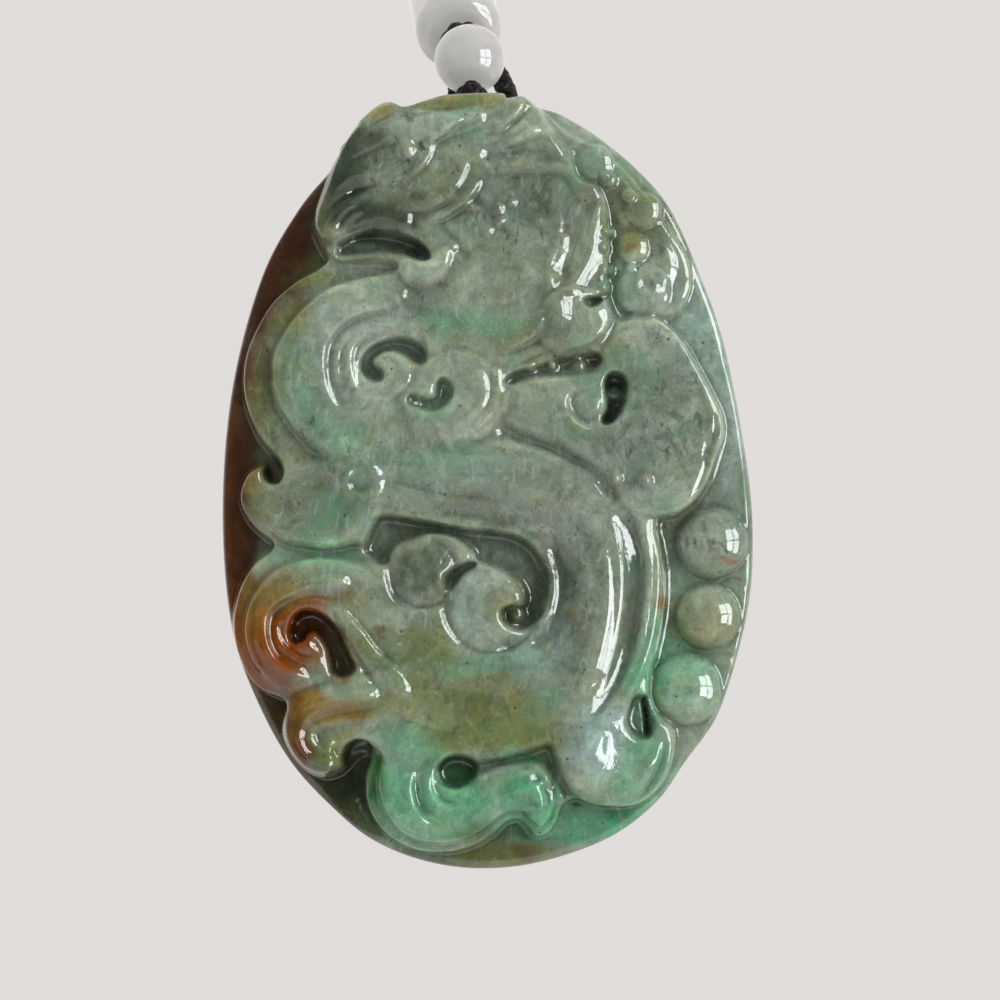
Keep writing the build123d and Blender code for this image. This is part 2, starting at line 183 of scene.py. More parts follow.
# The hanging loop. LOOP_SINKS is back and up from the tunnel's axis. LOOP_TOPS is right, back and up from it
# to where each leg turns to the spacer knot, by its side.
LOOP_RADIUS = 0.0008
LOOP_PITCH = 0.0046
LOOP_PAIRS = 3
LOOP_SPACING = 0.00022
LOOP_HALF_WIDTH = 0.0030
LOOP_IN_KNOT = 0.0010
LOOP_SINKS = (-0.0001, -0.0001)
LOOP_TOPS = {-1: (-0.0021, 0.0065, 0.0046), 1: (0.0020, 0.0072, 0.0081)}

# The right strand, from the sliding knot over the shoulder and down the chest. The left one mirrors it.
NECK_ROUTE = [
    (0.025, -0.001, -0.001),
    (0.043, -0.011, -0.005),
    (0.056, -0.026, -0.013),
    (0.062, -0.043, -0.025),
    (0.061, -0.060, -0.040),
    (0.056, -0.076, -0.058),
    (0.048, -0.090, -0.079),
    (0.038, -0.102, -0.101),
    (0.027, -0.112, -0.125),
    (0.016, -0.120, -0.150),
    (0.007, -0.127, -0.174),
]

# Places on the drawing are shares of its width, right and down from its top left corner
OUTLINE = [
    (.452, .100), (.500, .099), (.506, .104), (.521, .102), (.531, .106), (.538, .111), (.560, .118),
    (.599, .142), (.639, .176), (.668, .212), (.694, .269), (.720, .343), (.742, .455), (.749, .536),
    (.743, .613), (.717, .705), (.683, .758), (.652, .801), (.599, .838), (.518, .862), (.439, .860),
    (.366, .831), (.300, .771), (.258, .699), (.232, .620), (.224, .505), (.234, .385), (.263, .276),
    (.300, .208), (.336, .164), (.344, .143), (.378, .112), (.392, .107), (.406, .112), (.427, .106),
]

# Raised forms, each laid over the ones before it: name, height at its border and at its crown (shares of
# RELIEF), how far inside the border the crown begins, and the outline. A third number at a place makes the
# slope there that wide, so that the form runs softly into its neighbour.
FORMS = [
    ("field", .40, .46, .010, [
        (.531, .098), (.600, .130), (.700, .230), (.745, .380), (.758, .520), (.752, .620), (.738, .695),
        (.712, .757), (.682, .806, .03), (.640, .836, .06), (.604, .826, .06), (.620, .760, .04),
        (.500, .600), (.450, .300), (.500, .120)]),
    ("lower plate", .28, .30, .02, [
        (.360, .810, .06), (.480, .790, .03), (.600, .780, .04), (.700, .740, .06), (.700, .800, .06),
        (.600, .870, .03), (.520, .895, .03), (.430, .890, .05), (.350, .850, .06)]),
    ("lower terrace", .50, .57, .012, [
        (.345, .150), (.336, .165), (.327, .187), (.318, .212), (.316, .230), (.323, .246), (.330, .261),
        (.322, .270), (.305, .279), (.290, .290), (.274, .306), (.260, .330), (.251, .352), (.247, .375),
        (.248, .397), (.255, .421), (.265, .440), (.278, .455), (.285, .466), (.286, .475), (.281, .482),
        (.273, .481), (.268, .474), (.267, .466), (.259, .467), (.250, .475), (.244, .492), (.246, .507),
        (.255, .523), (.268, .535), (.277, .543), (.270, .552), (.257, .562), (.246, .580), (.239, .602),
        (.237, .625), (.241, .648), (.252, .672), (.268, .688), (.289, .698), (.285, .715), (.286, .733),
        (.295, .752), (.309, .767), (.326, .774), (.343, .768), (.358, .752), (.372, .752), (.367, .772),
        (.368, .795), (.378, .817), (.396, .834), (.422, .845), (.450, .846), (.474, .840), (.493, .829),
        (.506, .817), (.519, .814), (.527, .821), (.535, .831), (.547, .827), (.556, .814), (.561, .800),
        (.575, .793), (.597, .800), (.630, .800), (.657, .783), (.672, .750), (.668, .710), (.650, .670),
        (.657, .620), (.661, .570), (.655, .520), (.690, .480), (.700, .430), (.680, .370), (.650, .320),
        (.640, .240), (.610, .180), (.570, .140), (.531, .106), (.500, .090), (.400, .100), (.362, .124)]),
    ("crest", .50, .56, .014, [
        (.560, .140, .02), (.590, .148), (.615, .166), (.640, .194), (.662, .225), (.683, .258),
        (.688, .288), (.676, .312), (.650, .322, .008), (.610, .322), (.590, .260), (.590, .200)]),
    ("body", .68, .75, .016, [
        (.500, .092), (.400, .106), (.372, .121), (.352, .142), (.340, .165), (.331, .190), (.322, .214),
        (.320, .230), (.326, .243), (.336, .249), (.338, .262, .010), (.360, .262, .016), (.385, .262, .016),
        (.400, .268, .010), (.396, .275), (.380, .279), (.360, .282), (.340, .288), (.320, .299),
        (.305, .313), (.293, .328), (.284, .343), (.278, .358), (.277, .375), (.279, .392), (.284, .407),
        (.292, .421), (.300, .431), (.312, .443, .010), (.326, .456, .024), (.318, .470, .050),
        (.300, .478, .050), (.280, .495, .036), (.268, .512, .020), (.276, .530, .008), (.290, .540),
        (.310, .544), (.327, .546), (.345, .544), (.360, .541), (.372, .548, .012), (.376, .562, .024),
        (.362, .562, .010), (.345, .558), (.325, .556), (.305, .559), (.285, .566), (.268, .580),
        (.254, .603), (.250, .630), (.257, .656), (.270, .672, .012), (.288, .688, .016), (.291, .700, .010),
        (.289, .716), (.291, .733), (.299, .750), (.312, .763), (.328, .768), (.342, .762),
        (.350, .748, .008), (.372, .740), (.384, .750), (.381, .772, .008), (.386, .798, .008),
        (.402, .823, .008), (.430, .835, .008), (.462, .833, .006), (.486, .821), (.502, .808), (.519, .804),
        (.531, .813), (.540, .820), (.548, .811), (.553, .797), (.550, .778), (.552, .752), (.558, .768),
        (.573, .789), (.595, .798), (.630, .799), (.655, .783), (.669, .756), (.671, .735), (.664, .712),
        (.656, .694), (.648, .672), (.656, .635), (.661, .600), (.661, .570), (.656, .540), (.654, .518),
        (.664, .440), (.640, .340), (.618, .322), (.606, .300, .008), (.604, .270), (.606, .235),
        (.602, .205), (.588, .180, .010), (.566, .158, .014), (.548, .130, .008), (.534, .110)]),
    ("small scroll", .73, .80, .012, [
        (.424, .366, .010), (.436, .358), (.450, .353), (.465, .353), (.480, .358), (.492, .368),
        (.500, .384), (.500, .400), (.493, .415), (.481, .427), (.466, .436, .008), (.448, .440, .014),
        (.425, .438, .026), (.408, .420, .026), (.404, .390, .020)]),
    ("wing", .78, .83, .012, [
        (.606, .335), (.625, .321), (.650, .320), (.668, .331), (.683, .349), (.697, .374), (.709, .397),
        (.717, .415), (.718, .436), (.711, .456), (.702, .482), (.687, .503), (.664, .516), (.640, .512),
        (.620, .500, .010), (.602, .480, .012), (.588, .467, .012), (.562, .451, .012), (.532, .440, .012),
        (.508, .424, .010), (.503, .402), (.514, .387), (.540, .381), (.568, .378), (.598, .373),
        (.596, .350, .012)]),
    ("pale bulb", .76, .83, .008, [
        (.402, .266), (.404, .280), (.413, .287), (.430, .288), (.443, .280), (.451, .268), (.453, .257),
        (.447, .251), (.436, .256), (.425, .263), (.412, .261)]),
]

# Straps along a line: name, height of the crown, and rows of place and half width
RIDGES = [
    ("leaf", .78, [(.346, .614, .008), (.364, .638, .014), (.386, .664, .014), (.404, .684, .008)]),
    ("beak", .79, [
        (.336, .238, .006), (.346, .224, .012), (.362, .215, .014), (.384, .214, .014), (.404, .224, .010)]),
    ("brow", .79, [(.392, .140, .010), (.420, .136, .012), (.448, .131, .012), (.476, .124, .010)]),
    ("knob", .70, [(.366, .127, .005), (.378, .118, .007), (.392, .112, .008), (.402, .113, .006)]),
]

# Domes: name, place, radius, and the heights of the border and of the top
DOMES = [
    ("upper ball", .708, .541, .036, .44, .72),
    ("middle ball", .704, .614, .033, .42, .68),
    ("lower ball", .682, .686, .036, .44, .72),
    ("shoulder", .573, .326, .037, .76, .90),
    ("cloud curl", .425, .570, .036, .64, .76),
    ("spiral", .492, .602, .048, .64, .79),
    ("crest top", .592, .168, .020, .52, .62),
    ("crest upper", .640, .214, .019, .54, .64),
    ("crest yellow", .630, .251, .017, .54, .64),
    ("crest lower", .640, .293, .028, .56, .66),
]

# Swells: name, place, reach across and down, and rise
SWELLS = [
    ("cheek", .430, .182, .030, .026, .06),
    ("breast", .505, .275, .050, .040, .05),
    ("bulb", .584, .745, .036, .058, .15),
    ("band", .430, .470, .060, .024, .04),
    ("amber", .285, .625, .030, .036, .04),
    ("foot", .430, .800, .040, .030, .05),
    ("foot hook", .525, .785, .018, .018, .05),
]

# Steps: name, rise, reach, and places. The high side is to the left of the way that the places run. A step
# with a negative rise has a steep low side and slopes gently to the line from the left.
STEPS = [
    ("scroll, outer", .050, .013, [
        (.345, .412), (.336, .396), (.331, .380), (.330, .360), (.334, .343), (.346, .328), (.366, .317),
        (.392, .313), (.420, .318)]),
    ("scroll, second", .030, .010, [
        (.352, .398), (.345, .382), (.342, .364), (.346, .348), (.356, .337), (.372, .330)]),
    ("scroll, inner", .050, .009, [
        (.372, .398), (.361, .386), (.356, .367), (.357, .352), (.364, .342), (.378, .335), (.400, .332)]),
    ("small scroll, outer", .035, .010, [
        (.470, .441), (.487, .432), (.500, .418), (.507, .402), (.504, .385)]),
    ("small scroll", .035, .009, [
        (.452, .430), (.468, .424), (.481, .412), (.488, .397), (.486, .380), (.476, .368)]),
    ("eye of the scroll", .035, .008, [
        (.388, .402), (.400, .394), (.410, .384), (.413, .374), (.408, .366)]),
    ("body line", .012, .008, [
        (.590, .668), (.598, .640), (.604, .612), (.606, .580), (.603, .548), (.594, .520), (.580, .500)]),
    ("body line, inner", .008, .008, [
        (.572, .648), (.582, .620), (.587, .590), (.586, .560), (.578, .534), (.562, .512)]),
    ("body ring", .016, .008, [
        (.520, .648), (.540, .640), (.556, .626), (.567, .600), (.571, .580), (.568, .558), (.558, .540)]),
    ("tail valley", -.125, .019, [
        (.592, .716), (.612, .690), (.629, .655), (.638, .615), (.642, .575), (.638, .540), (.626, .508)]),
    ("tail, fine", .015, .005, [
        (.600, .690), (.612, .655), (.620, .615), (.622, .575), (.618, .540), (.610, .512)]),
    ("wing border", -.045, .006, [(.690, .500), (.700, .476), (.706, .452), (.712, .430), (.712, .414)]),
    ("amber, border", .030, .010, [
        (.296, .684), (.276, .671), (.262, .650), (.256, .625), (.260, .600), (.272, .582), (.294, .570)]),
    ("amber, outer", .060, .010, [
        (.318, .672), (.296, .664), (.281, .650), (.274, .632), (.275, .612), (.285, .599), (.303, .592)]),
    ("amber, inner", .050, .008, [(.322, .658), (.303, .652), (.290, .641), (.284, .626), (.288, .612)]),
    ("amber lip", -.060, .009, [(.338, .676), (.335, .660), (.329, .645), (.322, .636), (.314, .634)]),
    ("lower left, top", .040, .010, [(.392, .664), (.368, .672), (.340, .680), (.314, .686), (.292, .698)]),
    ("lower left, outer", .024, .008, [
        (.334, .764), (.314, .755), (.300, .738), (.298, .720), (.308, .706), (.328, .697), (.352, .694)]),
    ("lower left, inner", .030, .008, [
        (.338, .750), (.326, .742), (.319, .730), (.326, .722), (.344, .717), (.366, .714)]),
    ("lower left, core", .060, .008, [(.350, .762), (.340, .754), (.336, .744), (.340, .735)]),
    ("foot, outer", .016, .006, [
        (.455, .840), (.425, .834), (.400, .818), (.387, .798), (.382, .776), (.388, .758)]),
    ("foot, middle", .070, .011, [(.432, .815), (.420, .800), (.415, .782), (.418, .764)]),
    ("foot, inner", .055, .008, [(.456, .800), (.442, .794), (.434, .782), (.433, .768)]),
    ("foot, hook", -.050, .010, [(.542, .822), (.553, .806), (.552, .788), (.544, .774), (.532, .766)]),
    ("foot, hook inner", .035, .008, [(.538, .812), (.545, .800), (.544, .786), (.535, .776), (.522, .774)]),
    ("bulb, right", .050, .010, [(.600, .797), (.628, .790), (.644, .775), (.654, .755), (.658, .735)]),
    ("bulb, far right", .040, .007, [(.640, .796), (.656, .778), (.666, .755), (.669, .735)]),
    ("lobe spiral", .040, .007, [(.372, .490), (.362, .492), (.354, .485), (.354, .475), (.362, .469)]),
    ("ledge", .030, .008, [(.505, .503), (.480, .498), (.440, .495), (.410, .487), (.388, .480)]),
    ("belly top", .030, .010, [
        (.606, .484), (.590, .472), (.562, .458), (.530, .446), (.500, .442), (.470, .446)]),
    ("cheek ring", .040, .008, [
        (.414, .214), (.432, .213), (.447, .205), (.458, .193), (.466, .180), (.470, .166)]),
    ("cheek, outer", .065, .009, [(.428, .228), (.446, .222), (.462, .212), (.474, .200), (.483, .186)]),
    ("brow end", .045, .008, [(.432, .151), (.442, .144), (.450, .137), (.458, .131), (.480, .125)]),
    ("eye ring", .040, .008, [
        (.384, .190), (.400, .187), (.414, .180), (.425, .172), (.433, .160), (.435, .150)]),
    ("mouth", .050, .010, [
        (.386, .193), (.372, .195), (.360, .199), (.349, .204), (.340, .211), (.333, .220), (.329, .231),
        (.328, .242)]),
    ("mouth, second", .030, .007, [(.370, .203), (.356, .207), (.345, .214), (.337, .224), (.333, .238)]),
    ("hair, upper", .040, .009, [(.482, .140), (.500, .134), (.517, .124), (.529, .110)]),
    ("hair, lower", .040, .008, [(.508, .152), (.518, .150), (.528, .143), (.538, .138)]),
    ("crest of the head", .035, .010, [
        (.490, .113), (.462, .116), (.440, .118), (.414, .117), (.400, .120), (.386, .127), (.374, .135),
        (.364, .146)]),
    ("neck fold", .030, .010, [
        (.484, .178), (.510, .176), (.540, .176), (.562, .179), (.571, .192), (.580, .212)]),
    ("neck line", .025, .008, [(.476, .198), (.488, .212), (.502, .228), (.520, .246)]),
    ("neck line, left", .025, .008, [(.448, .228), (.462, .246), (.474, .262)]),
    ("shoulder base", .040, .009, [(.560, .352), (.580, .349), (.598, .338), (.608, .322)]),
    ("fold, upper", .045, .009, [(.500, .356), (.520, .348), (.536, .338), (.542, .322), (.540, .306)]),
    ("fold, lower", .040, .007, [(.505, .368), (.528, .358), (.545, .350)]),
    ("wing ring", .050, .008, [
        (.596, .424), (.582, .424), (.570, .414), (.566, .402), (.572, .392), (.586, .388)]),
    ("wing ring, core", .050, .007, [(.586, .416), (.596, .411), (.599, .400)]),
    ("right rim", .025, .004, [
        (.746, .560), (.744, .510), (.740, .462), (.734, .415), (.727, .385), (.716, .346)]),
    ("low right rim", .022, .004, [(.690, .752), (.716, .700), (.732, .655), (.741, .612), (.745, .575)]),
    ("foot line 1", .014, .005, [(.470, .832), (.435, .830), (.408, .818), (.390, .796), (.384, .772)]),
    ("foot line 2", .018, .005, [(.462, .812), (.436, .812), (.414, .800), (.402, .784), (.402, .766)]),
    ("foot line 3", .018, .005, [(.480, .806), (.500, .792), (.522, .786), (.538, .796)]),
    ("lower left line 1", .018, .005, [
        (.322, .764), (.303, .748), (.294, .728), (.300, .708), (.318, .696), (.345, .690)]),
    ("lower left line 2", .018, .005, [
        (.328, .756), (.312, .746), (.306, .730), (.313, .714), (.332, .704), (.356, .700)]),
    ("amber line 1", .020, .005, [
        (.300, .676), (.282, .664), (.268, .645), (.263, .622), (.268, .602), (.284, .588)]),
    ("amber line 2", .024, .005, [(.316, .664), (.298, .658), (.286, .646), (.280, .630), (.281, .616)]),
    ("amber line 3", .020, .005, [(.346, .606), (.330, .598), (.312, .596), (.292, .602)]),
    ("arm line", .012, .005, [(.300, .576), (.325, .570), (.350, .572), (.372, .584), (.392, .604)]),
    ("scroll line 1", .016, .005, [
        (.310, .424), (.299, .400), (.296, .375), (.302, .350), (.316, .328), (.340, .312)]),
    ("small scroll line", .020, .005, [
        (.448, .420), (.462, .415), (.474, .404), (.478, .390), (.472, .376)]),
    ("curl hook", -.050, .008, [(.444, .592), (.438, .580), (.440, .568), (.450, .560)]),
    ("spiral hook", .030, .006, [(.506, .606), (.516, .602), (.519, .592), (.510, .584), (.498, .586)]),
    ("spiral line", .020, .006, [(.474, .634), (.462, .616), (.462, .596), (.472, .578), (.488, .568)]),
    ("tail line 1", .014, .005, [(.586, .690), (.600, .655), (.608, .615), (.609, .575), (.604, .540)]),
    ("tail line 2", -.030, .006, [
        (.606, .706), (.628, .676), (.643, .640), (.650, .600), (.652, .560), (.648, .530)]),
    ("tail line 3", .014, .005, [(.566, .664), (.580, .640), (.589, .610), (.590, .580), (.584, .552)]),
    ("band line", .012, .006, [
        (.600, .500), (.570, .474), (.530, .460), (.480, .456), (.430, .452), (.390, .458)]),
    ("hair line 1", .020, .006, [(.470, .150), (.490, .147), (.510, .142), (.526, .132)]),
    ("hair line 2", .018, .006, [(.446, .126), (.470, .123), (.492, .120), (.512, .110)]),
    ("hair line 3", .018, .006, [(.520, .166), (.545, .163), (.566, .168), (.578, .180)]),
    ("hair line 4", -.040, .007, [(.508, .136), (.518, .128), (.526, .116)]),
    ("cheek line", .020, .006, [(.430, .212), (.448, .209), (.462, .198), (.470, .184)]),
    ("neck line 1", .020, .006, [(.538, .288), (.552, .262), (.560, .236), (.562, .212)]),
    ("neck line 2", .016, .006, [(.442, .224), (.450, .236), (.460, .250), (.474, .268)]),
    ("neck line 3", .016, .006, [(.518, .214), (.532, .226), (.546, .236), (.556, .244)]),
    ("breast line 1", .016, .006, [(.498, .311), (.512, .304), (.524, .294), (.532, .282)]),
    ("breast line 2", .014, .006, [(.520, .307), (.530, .302), (.538, .292)]),
    ("web 1", .030, .005, [(.742, .585), (.730, .578), (.716, .580)]),
    ("web 2", .030, .005, [(.732, .660), (.720, .652), (.708, .654)]),
    ("bulb line 2", .020, .005, [(.610, .792), (.632, .780), (.646, .762), (.652, .745)]),
    ("wing line 1", -.030, .005, [(.697, .490), (.706, .470), (.713, .446), (.716, .424)]),
    ("wing ring line", .018, .005, [(.604, .430), (.588, .428), (.574, .420), (.566, .406)]),
    ("foot line 4", .016, .005, [
        (.440, .844), (.414, .836), (.394, .820), (.380, .798), (.376, .772), (.384, .752)]),
    ("foot line 5", .018, .005, [(.500, .822), (.516, .806), (.536, .802), (.548, .812)]),
    ("foot top", .030, .008, [(.556, .776), (.544, .766), (.524, .764), (.500, .770), (.482, .780)]),
    ("beak line 1", .018, .005, [(.378, .212), (.362, .214), (.350, .222), (.344, .236)]),
    ("beak line 2", .018, .005, [(.404, .220), (.386, .218), (.368, .222), (.356, .232)]),
    ("head line 1", .018, .006, [(.380, .180), (.400, .178), (.416, .170), (.426, .158)]),
    ("head line 2", .018, .006, [(.352, .166), (.366, .158), (.384, .150), (.396, .142)]),
    ("head line 3", .016, .006, [(.340, .196), (.352, .186), (.366, .182), (.384, .184)]),
    ("band line 2", .012, .005, [(.590, .520), (.560, .492), (.520, .480), (.470, .476), (.420, .470)]),
    ("lobe line", .016, .006, [(.360, .528), (.340, .536), (.316, .536), (.294, .528)]),
    ("belly line 1", .016, .006, [(.440, .742), (.480, .748), (.520, .742), (.552, .728)]),
    ("belly line 2", .014, .006, [(.380, .690), (.410, .712), (.440, .722), (.480, .728)]),
    ("curl line", .020, .006, [(.398, .604), (.392, .584), (.396, .562), (.410, .548), (.428, .545)]),
    ("wing line 2", .014, .006, [(.680, .360), (.696, .390), (.704, .420), (.702, .450), (.690, .478)]),
    ("wing line 3", .014, .006, [(.510, .412), (.540, .424), (.572, .436), (.600, .456)]),
    ("scroll line 2", .014, .005, [(.296, .440), (.286, .414), (.284, .384), (.292, .350), (.310, .322)]),
]

# Grooves: name, depth, and rows of place and half width
GROOVES = [
    ("cloud curl", .020, [
        (.446, .578, .003), (.440, .560, .004), (.426, .552, .005), (.409, .557, .005), (.402, .573, .004),
        (.408, .588, .003)]),
    ("spiral ring", .022, [
        (.518, .578, .003), (.500, .570, .004), (.480, .580, .005), (.469, .600, .005), (.474, .622, .004),
        (.490, .634, .003)]),
    ("spiral core", .030, [(.508, .592, .003), (.496, .587, .004), (.485, .596, .004), (.488, .610, .003)]),
    ("leaf, left", .070, [(.336, .606, .003), (.346, .630, .005), (.362, .657, .005), (.380, .682, .003)]),
    ("leaf, right", .040, [(.350, .604, .003), (.366, .622, .005), (.386, .648, .005), (.410, .670, .003)]),
    ("belly, upper", .025, [(.428, .622, .003), (.455, .640, .005), (.490, .653, .005), (.530, .652, .003)]),
    ("belly, lower", .020, [(.446, .612, .003), (.462, .628, .005), (.486, .640, .005), (.512, .646, .003)]),
    ("slit", .300, [(.642, .694, .0020), (.644, .712, .0024), (.646, .732, .0020)]),
    ("breast line", .015, [(.490, .310, .003), (.520, .302, .005), (.545, .290, .003)]),
    ("feather vein", .030, [(.590, .244, .003), (.582, .262, .004), (.570, .284, .003)]),
    ("top line", .030, [
        (.352, .152, .003), (.368, .136, .005), (.388, .126, .005), (.430, .118, .005), (.470, .116, .003)]),
    ("crest line", .030, [(.440, .122, .003), (.480, .118, .005), (.508, .108, .003)]),
]

# Pits: name, height of the floor, share of painted shade, and outline, with any third number as above
PITS = [
    ("hook", .55, .58, [
        (.386, .380), (.380, .383), (.373, .382), (.366, .376), (.363, .368), (.365, .358), (.372, .350),
        (.385, .343), (.400, .339), (.415, .342), (.425, .349), (.429, .357), (.427, .364), (.420, .366),
        (.412, .362), (.405, .357), (.397, .354), (.388, .354), (.380, .358), (.377, .363), (.380, .368),
        (.385, .373)]),
    ("comma", .60, .00, [
        (.410, .398), (.413, .394), (.420, .396), (.430, .399), (.436, .396), (.437, .388), (.440, .381),
        (.446, .380), (.453, .386), (.455, .394), (.451, .402), (.445, .408), (.436, .412), (.425, .411),
        (.415, .408), (.410, .403)]),
    ("crescent", .56, .75, [
        (.338, .252), (.345, .245), (.357, .240), (.373, .236), (.395, .236), (.413, .241), (.426, .250),
        (.432, .259), (.428, .264), (.418, .263), (.404, .259, .006), (.388, .257, .006), (.368, .258, .006),
        (.350, .260, .008), (.340, .259)]),
    ("crescent, deep", .50, .22, [
        (.352, .243, .006), (.373, .237), (.395, .237), (.413, .242), (.425, .250), (.431, .260),
        (.424, .263), (.410, .257, .008), (.394, .252, .008), (.374, .247, .008), (.360, .247, .008)]),
    ("slot", .62, .45, [
        (.505, .381, .006), (.516, .372, .006), (.535, .366, .010), (.560, .359, .012), (.588, .354, .010),
        (.600, .360), (.592, .371, .008), (.565, .377), (.535, .379), (.520, .383), (.508, .387)]),
    ("wing pit", .48, .70, [
        (.608, .375), (.618, .376), (.624, .385), (.623, .400), (.618, .412), (.610, .422), (.602, .424),
        (.600, .419), (.604, .411), (.605, .403), (.603, .393), (.603, .382)]),
    ("wing hole", .46, .6, [
        (.662, .515), (.670, .515), (.674, .521), (.673, .529), (.667, .535), (.661, .531), (.659, .523)]),
    ("chain pit", .58, .40, [
        (.582, .303), (.586, .309), (.595, .308), (.603, .302), (.606, .306), (.611, .320), (.618, .322),
        (.621, .317), (.615, .303), (.606, .294), (.598, .298), (.590, .300)]),
    ("deep curve", .44, .72, [
        (.376, .524), (.383, .515), (.400, .515), (.430, .520), (.460, .526), (.500, .530), (.520, .536),
        (.535, .548), (.545, .565), (.548, .580), (.547, .595), (.543, .610), (.535, .620), (.522, .627),
        (.510, .624), (.502, .615), (.503, .606), (.512, .602), (.521, .602), (.524, .594), (.520, .583),
        (.512, .575), (.500, .568), (.486, .562), (.476, .557), (.470, .548), (.455, .536), (.433, .532),
        (.415, .537), (.400, .543), (.393, .553), (.391, .560), (.385, .563), (.376, .558), (.368, .550),
        (.368, .541)]),
    ("small pit", .52, .45, [
        (.448, .585), (.447, .577), (.452, .568), (.462, .562), (.475, .559), (.478, .563), (.468, .570),
        (.460, .578), (.454, .586)]),
    ("amber hook", .44, .60, [
        (.295, .622), (.300, .612), (.310, .607), (.322, .609), (.333, .616), (.342, .627), (.348, .640),
        (.355, .655), (.359, .663), (.355, .670), (.345, .673), (.336, .669), (.334, .660), (.331, .648),
        (.325, .636), (.318, .629), (.312, .631), (.308, .637), (.300, .640), (.294, .634)]),
    ("corner", .16, .5, [
        (.347, .762), (.346, .750), (.351, .740), (.360, .735), (.369, .736), (.374, .743), (.372, .754),
        (.367, .768), (.366, .786), (.352, .782), (.346, .772)]),
    ("foot channel", .62, .45, [
        (.470, .756, .010), (.497, .752, .010), (.525, .745, .010), (.548, .738, .010), (.556, .752, .010),
        (.563, .772, .010), (.578, .793, .010), (.588, .803, .010), (.568, .803, .010), (.559, .785, .010),
        (.548, .768, .010), (.535, .758, .010), (.515, .760, .010), (.497, .764, .010), (.480, .770, .010)]),
    ("foot pit", .46, .60, [
        (.438, .766), (.442, .757), (.450, .751), (.460, .750), (.471, .753), (.478, .760),
        (.477, .769, .008), (.470, .777), (.460, .782), (.449, .781), (.441, .775)]),
    ("teardrop", .60, .90, [
        (.631, .692), (.640, .691), (.646, .700), (.651, .712), (.652, .721), (.648, .731), (.640, .734),
        (.632, .731), (.625, .723), (.623, .714), (.626, .702)]),
    ("slit", .20, 1.0, [
        (.6405, .6935), (.6425, .6935), (.6445, .710), (.6462, .7280), (.6442, .7280), (.6422, .710)]),
]

# Long rounded swells: name, rise, and rows of place and half width
TUBES = [
    ("band", .05, [
        (.340, .468, .020), (.400, .462, .022), (.470, .468, .026), (.540, .482, .030), (.588, .512, .030),
        (.608, .560, .026), (.606, .610, .024), (.590, .660, .022)]),
    ("scroll arm", .05, [
        (.400, .296, .016), (.350, .306, .020), (.314, .340, .022), (.302, .380, .024), (.316, .420, .024),
        (.350, .450, .020)]),
    ("neck", .04, [(.470, .200, .030), (.505, .240, .044), (.530, .290, .040), (.520, .330, .024)]),
    ("breast", .04, [(.470, .280, .020), (.440, .320, .020), (.430, .345, .014)]),
    ("wing", .05, [(.630, .360, .030), (.655, .400, .040), (.660, .440, .040), (.648, .480, .026)]),
    ("wing, left", .04, [(.520, .405, .014), (.550, .410, .020), (.575, .440, .020)]),
    ("foot arm", .05, [
        (.384, .770, .014), (.394, .800, .018), (.425, .818, .022), (.460, .815, .020), (.495, .790, .018),
        (.525, .778, .016)]),
    ("lower left arm", .09, [
        (.372, .690, .012), (.340, .694, .016), (.314, .706, .018), (.302, .726, .016), (.312, .750, .014),
        (.332, .760, .010)]),
    ("amber arm", .06, [
        (.345, .578, .012), (.305, .582, .014), (.274, .600, .016), (.264, .630, .016), (.278, .658, .014),
        (.302, .668, .012)]),
    ("deep curve's slope", -.09, [
        (.392, .510, .014), (.440, .512, .022), (.500, .520, .028), (.545, .545, .030), (.560, .590, .030),
        (.545, .628, .026), (.510, .640, .018)]),
    ("belly", -.05, [(.440, .690, .040), (.500, .700, .044), (.550, .690, .030)]),
    ("face", -.05, [(.360, .196, .014), (.390, .190, .016), (.420, .200, .012)]),
    ("hair valley", -.05, [(.490, .160, .012), (.530, .158, .014), (.566, .164, .010)]),
    ("wing's left border", -.06, [
        (.505, .432, .012), (.550, .446, .014), (.590, .470, .012), (.612, .494, .008)]),
    ("feather", .080, [
        (.597, .210, .006), (.594, .222, .014), (.588, .244, .018), (.579, .268, .018), (.570, .290, .014)]),
    ("leaf of the neck", .060, [
        (.562, .242, .006), (.557, .256, .014), (.550, .272, .014), (.546, .288, .008)]),
    ("shoulder window", .085, [(.552, .286, .014), (.554, .300, .020), (.558, .318, .014)]),
    ("crest arc", .040, [
        (.662, .250, .006), (.665, .262, .010), (.664, .276, .012), (.658, .290, .010), (.648, .302, .006)]),
    ("bulb crest", .062, [(.598, .732, .010), (.590, .748, .020), (.578, .768, .025), (.562, .788, .018)]),
    ("lobe ridge", .055, [
        (.370, .462, .008), (.378, .476, .013), (.377, .492, .015), (.366, .510, .015), (.353, .527, .012)]),
    ("small scroll rim", .040, [
        (.496, .372, .006), (.500, .392, .010), (.492, .410, .010), (.478, .424, .006)]),
    ("hair tuft", .045, [(.498, .136, .006), (.508, .128, .010), (.516, .118, .010), (.520, .110, .006)]),
    ("hair lock", .035, [(.500, .152, .006), (.514, .148, .008), (.528, .142, .008), (.536, .136, .004)]),
    ("brow lock", .040, [(.428, .150, .006), (.438, .142, .009), (.450, .134, .008), (.460, .128, .005)]),
    ("curl rim", .045, [(.440, .560, .006), (.437, .574, .010), (.432, .588, .008)]),
    ("foot hook rim", .045, [
        (.528, .768, .006), (.538, .782, .010), (.538, .798, .010), (.530, .812, .006)]),
    ("deep curve's side", -.050, [
        (.556, .548, .012), (.562, .580, .016), (.556, .616, .014), (.536, .640, .010)]),
]

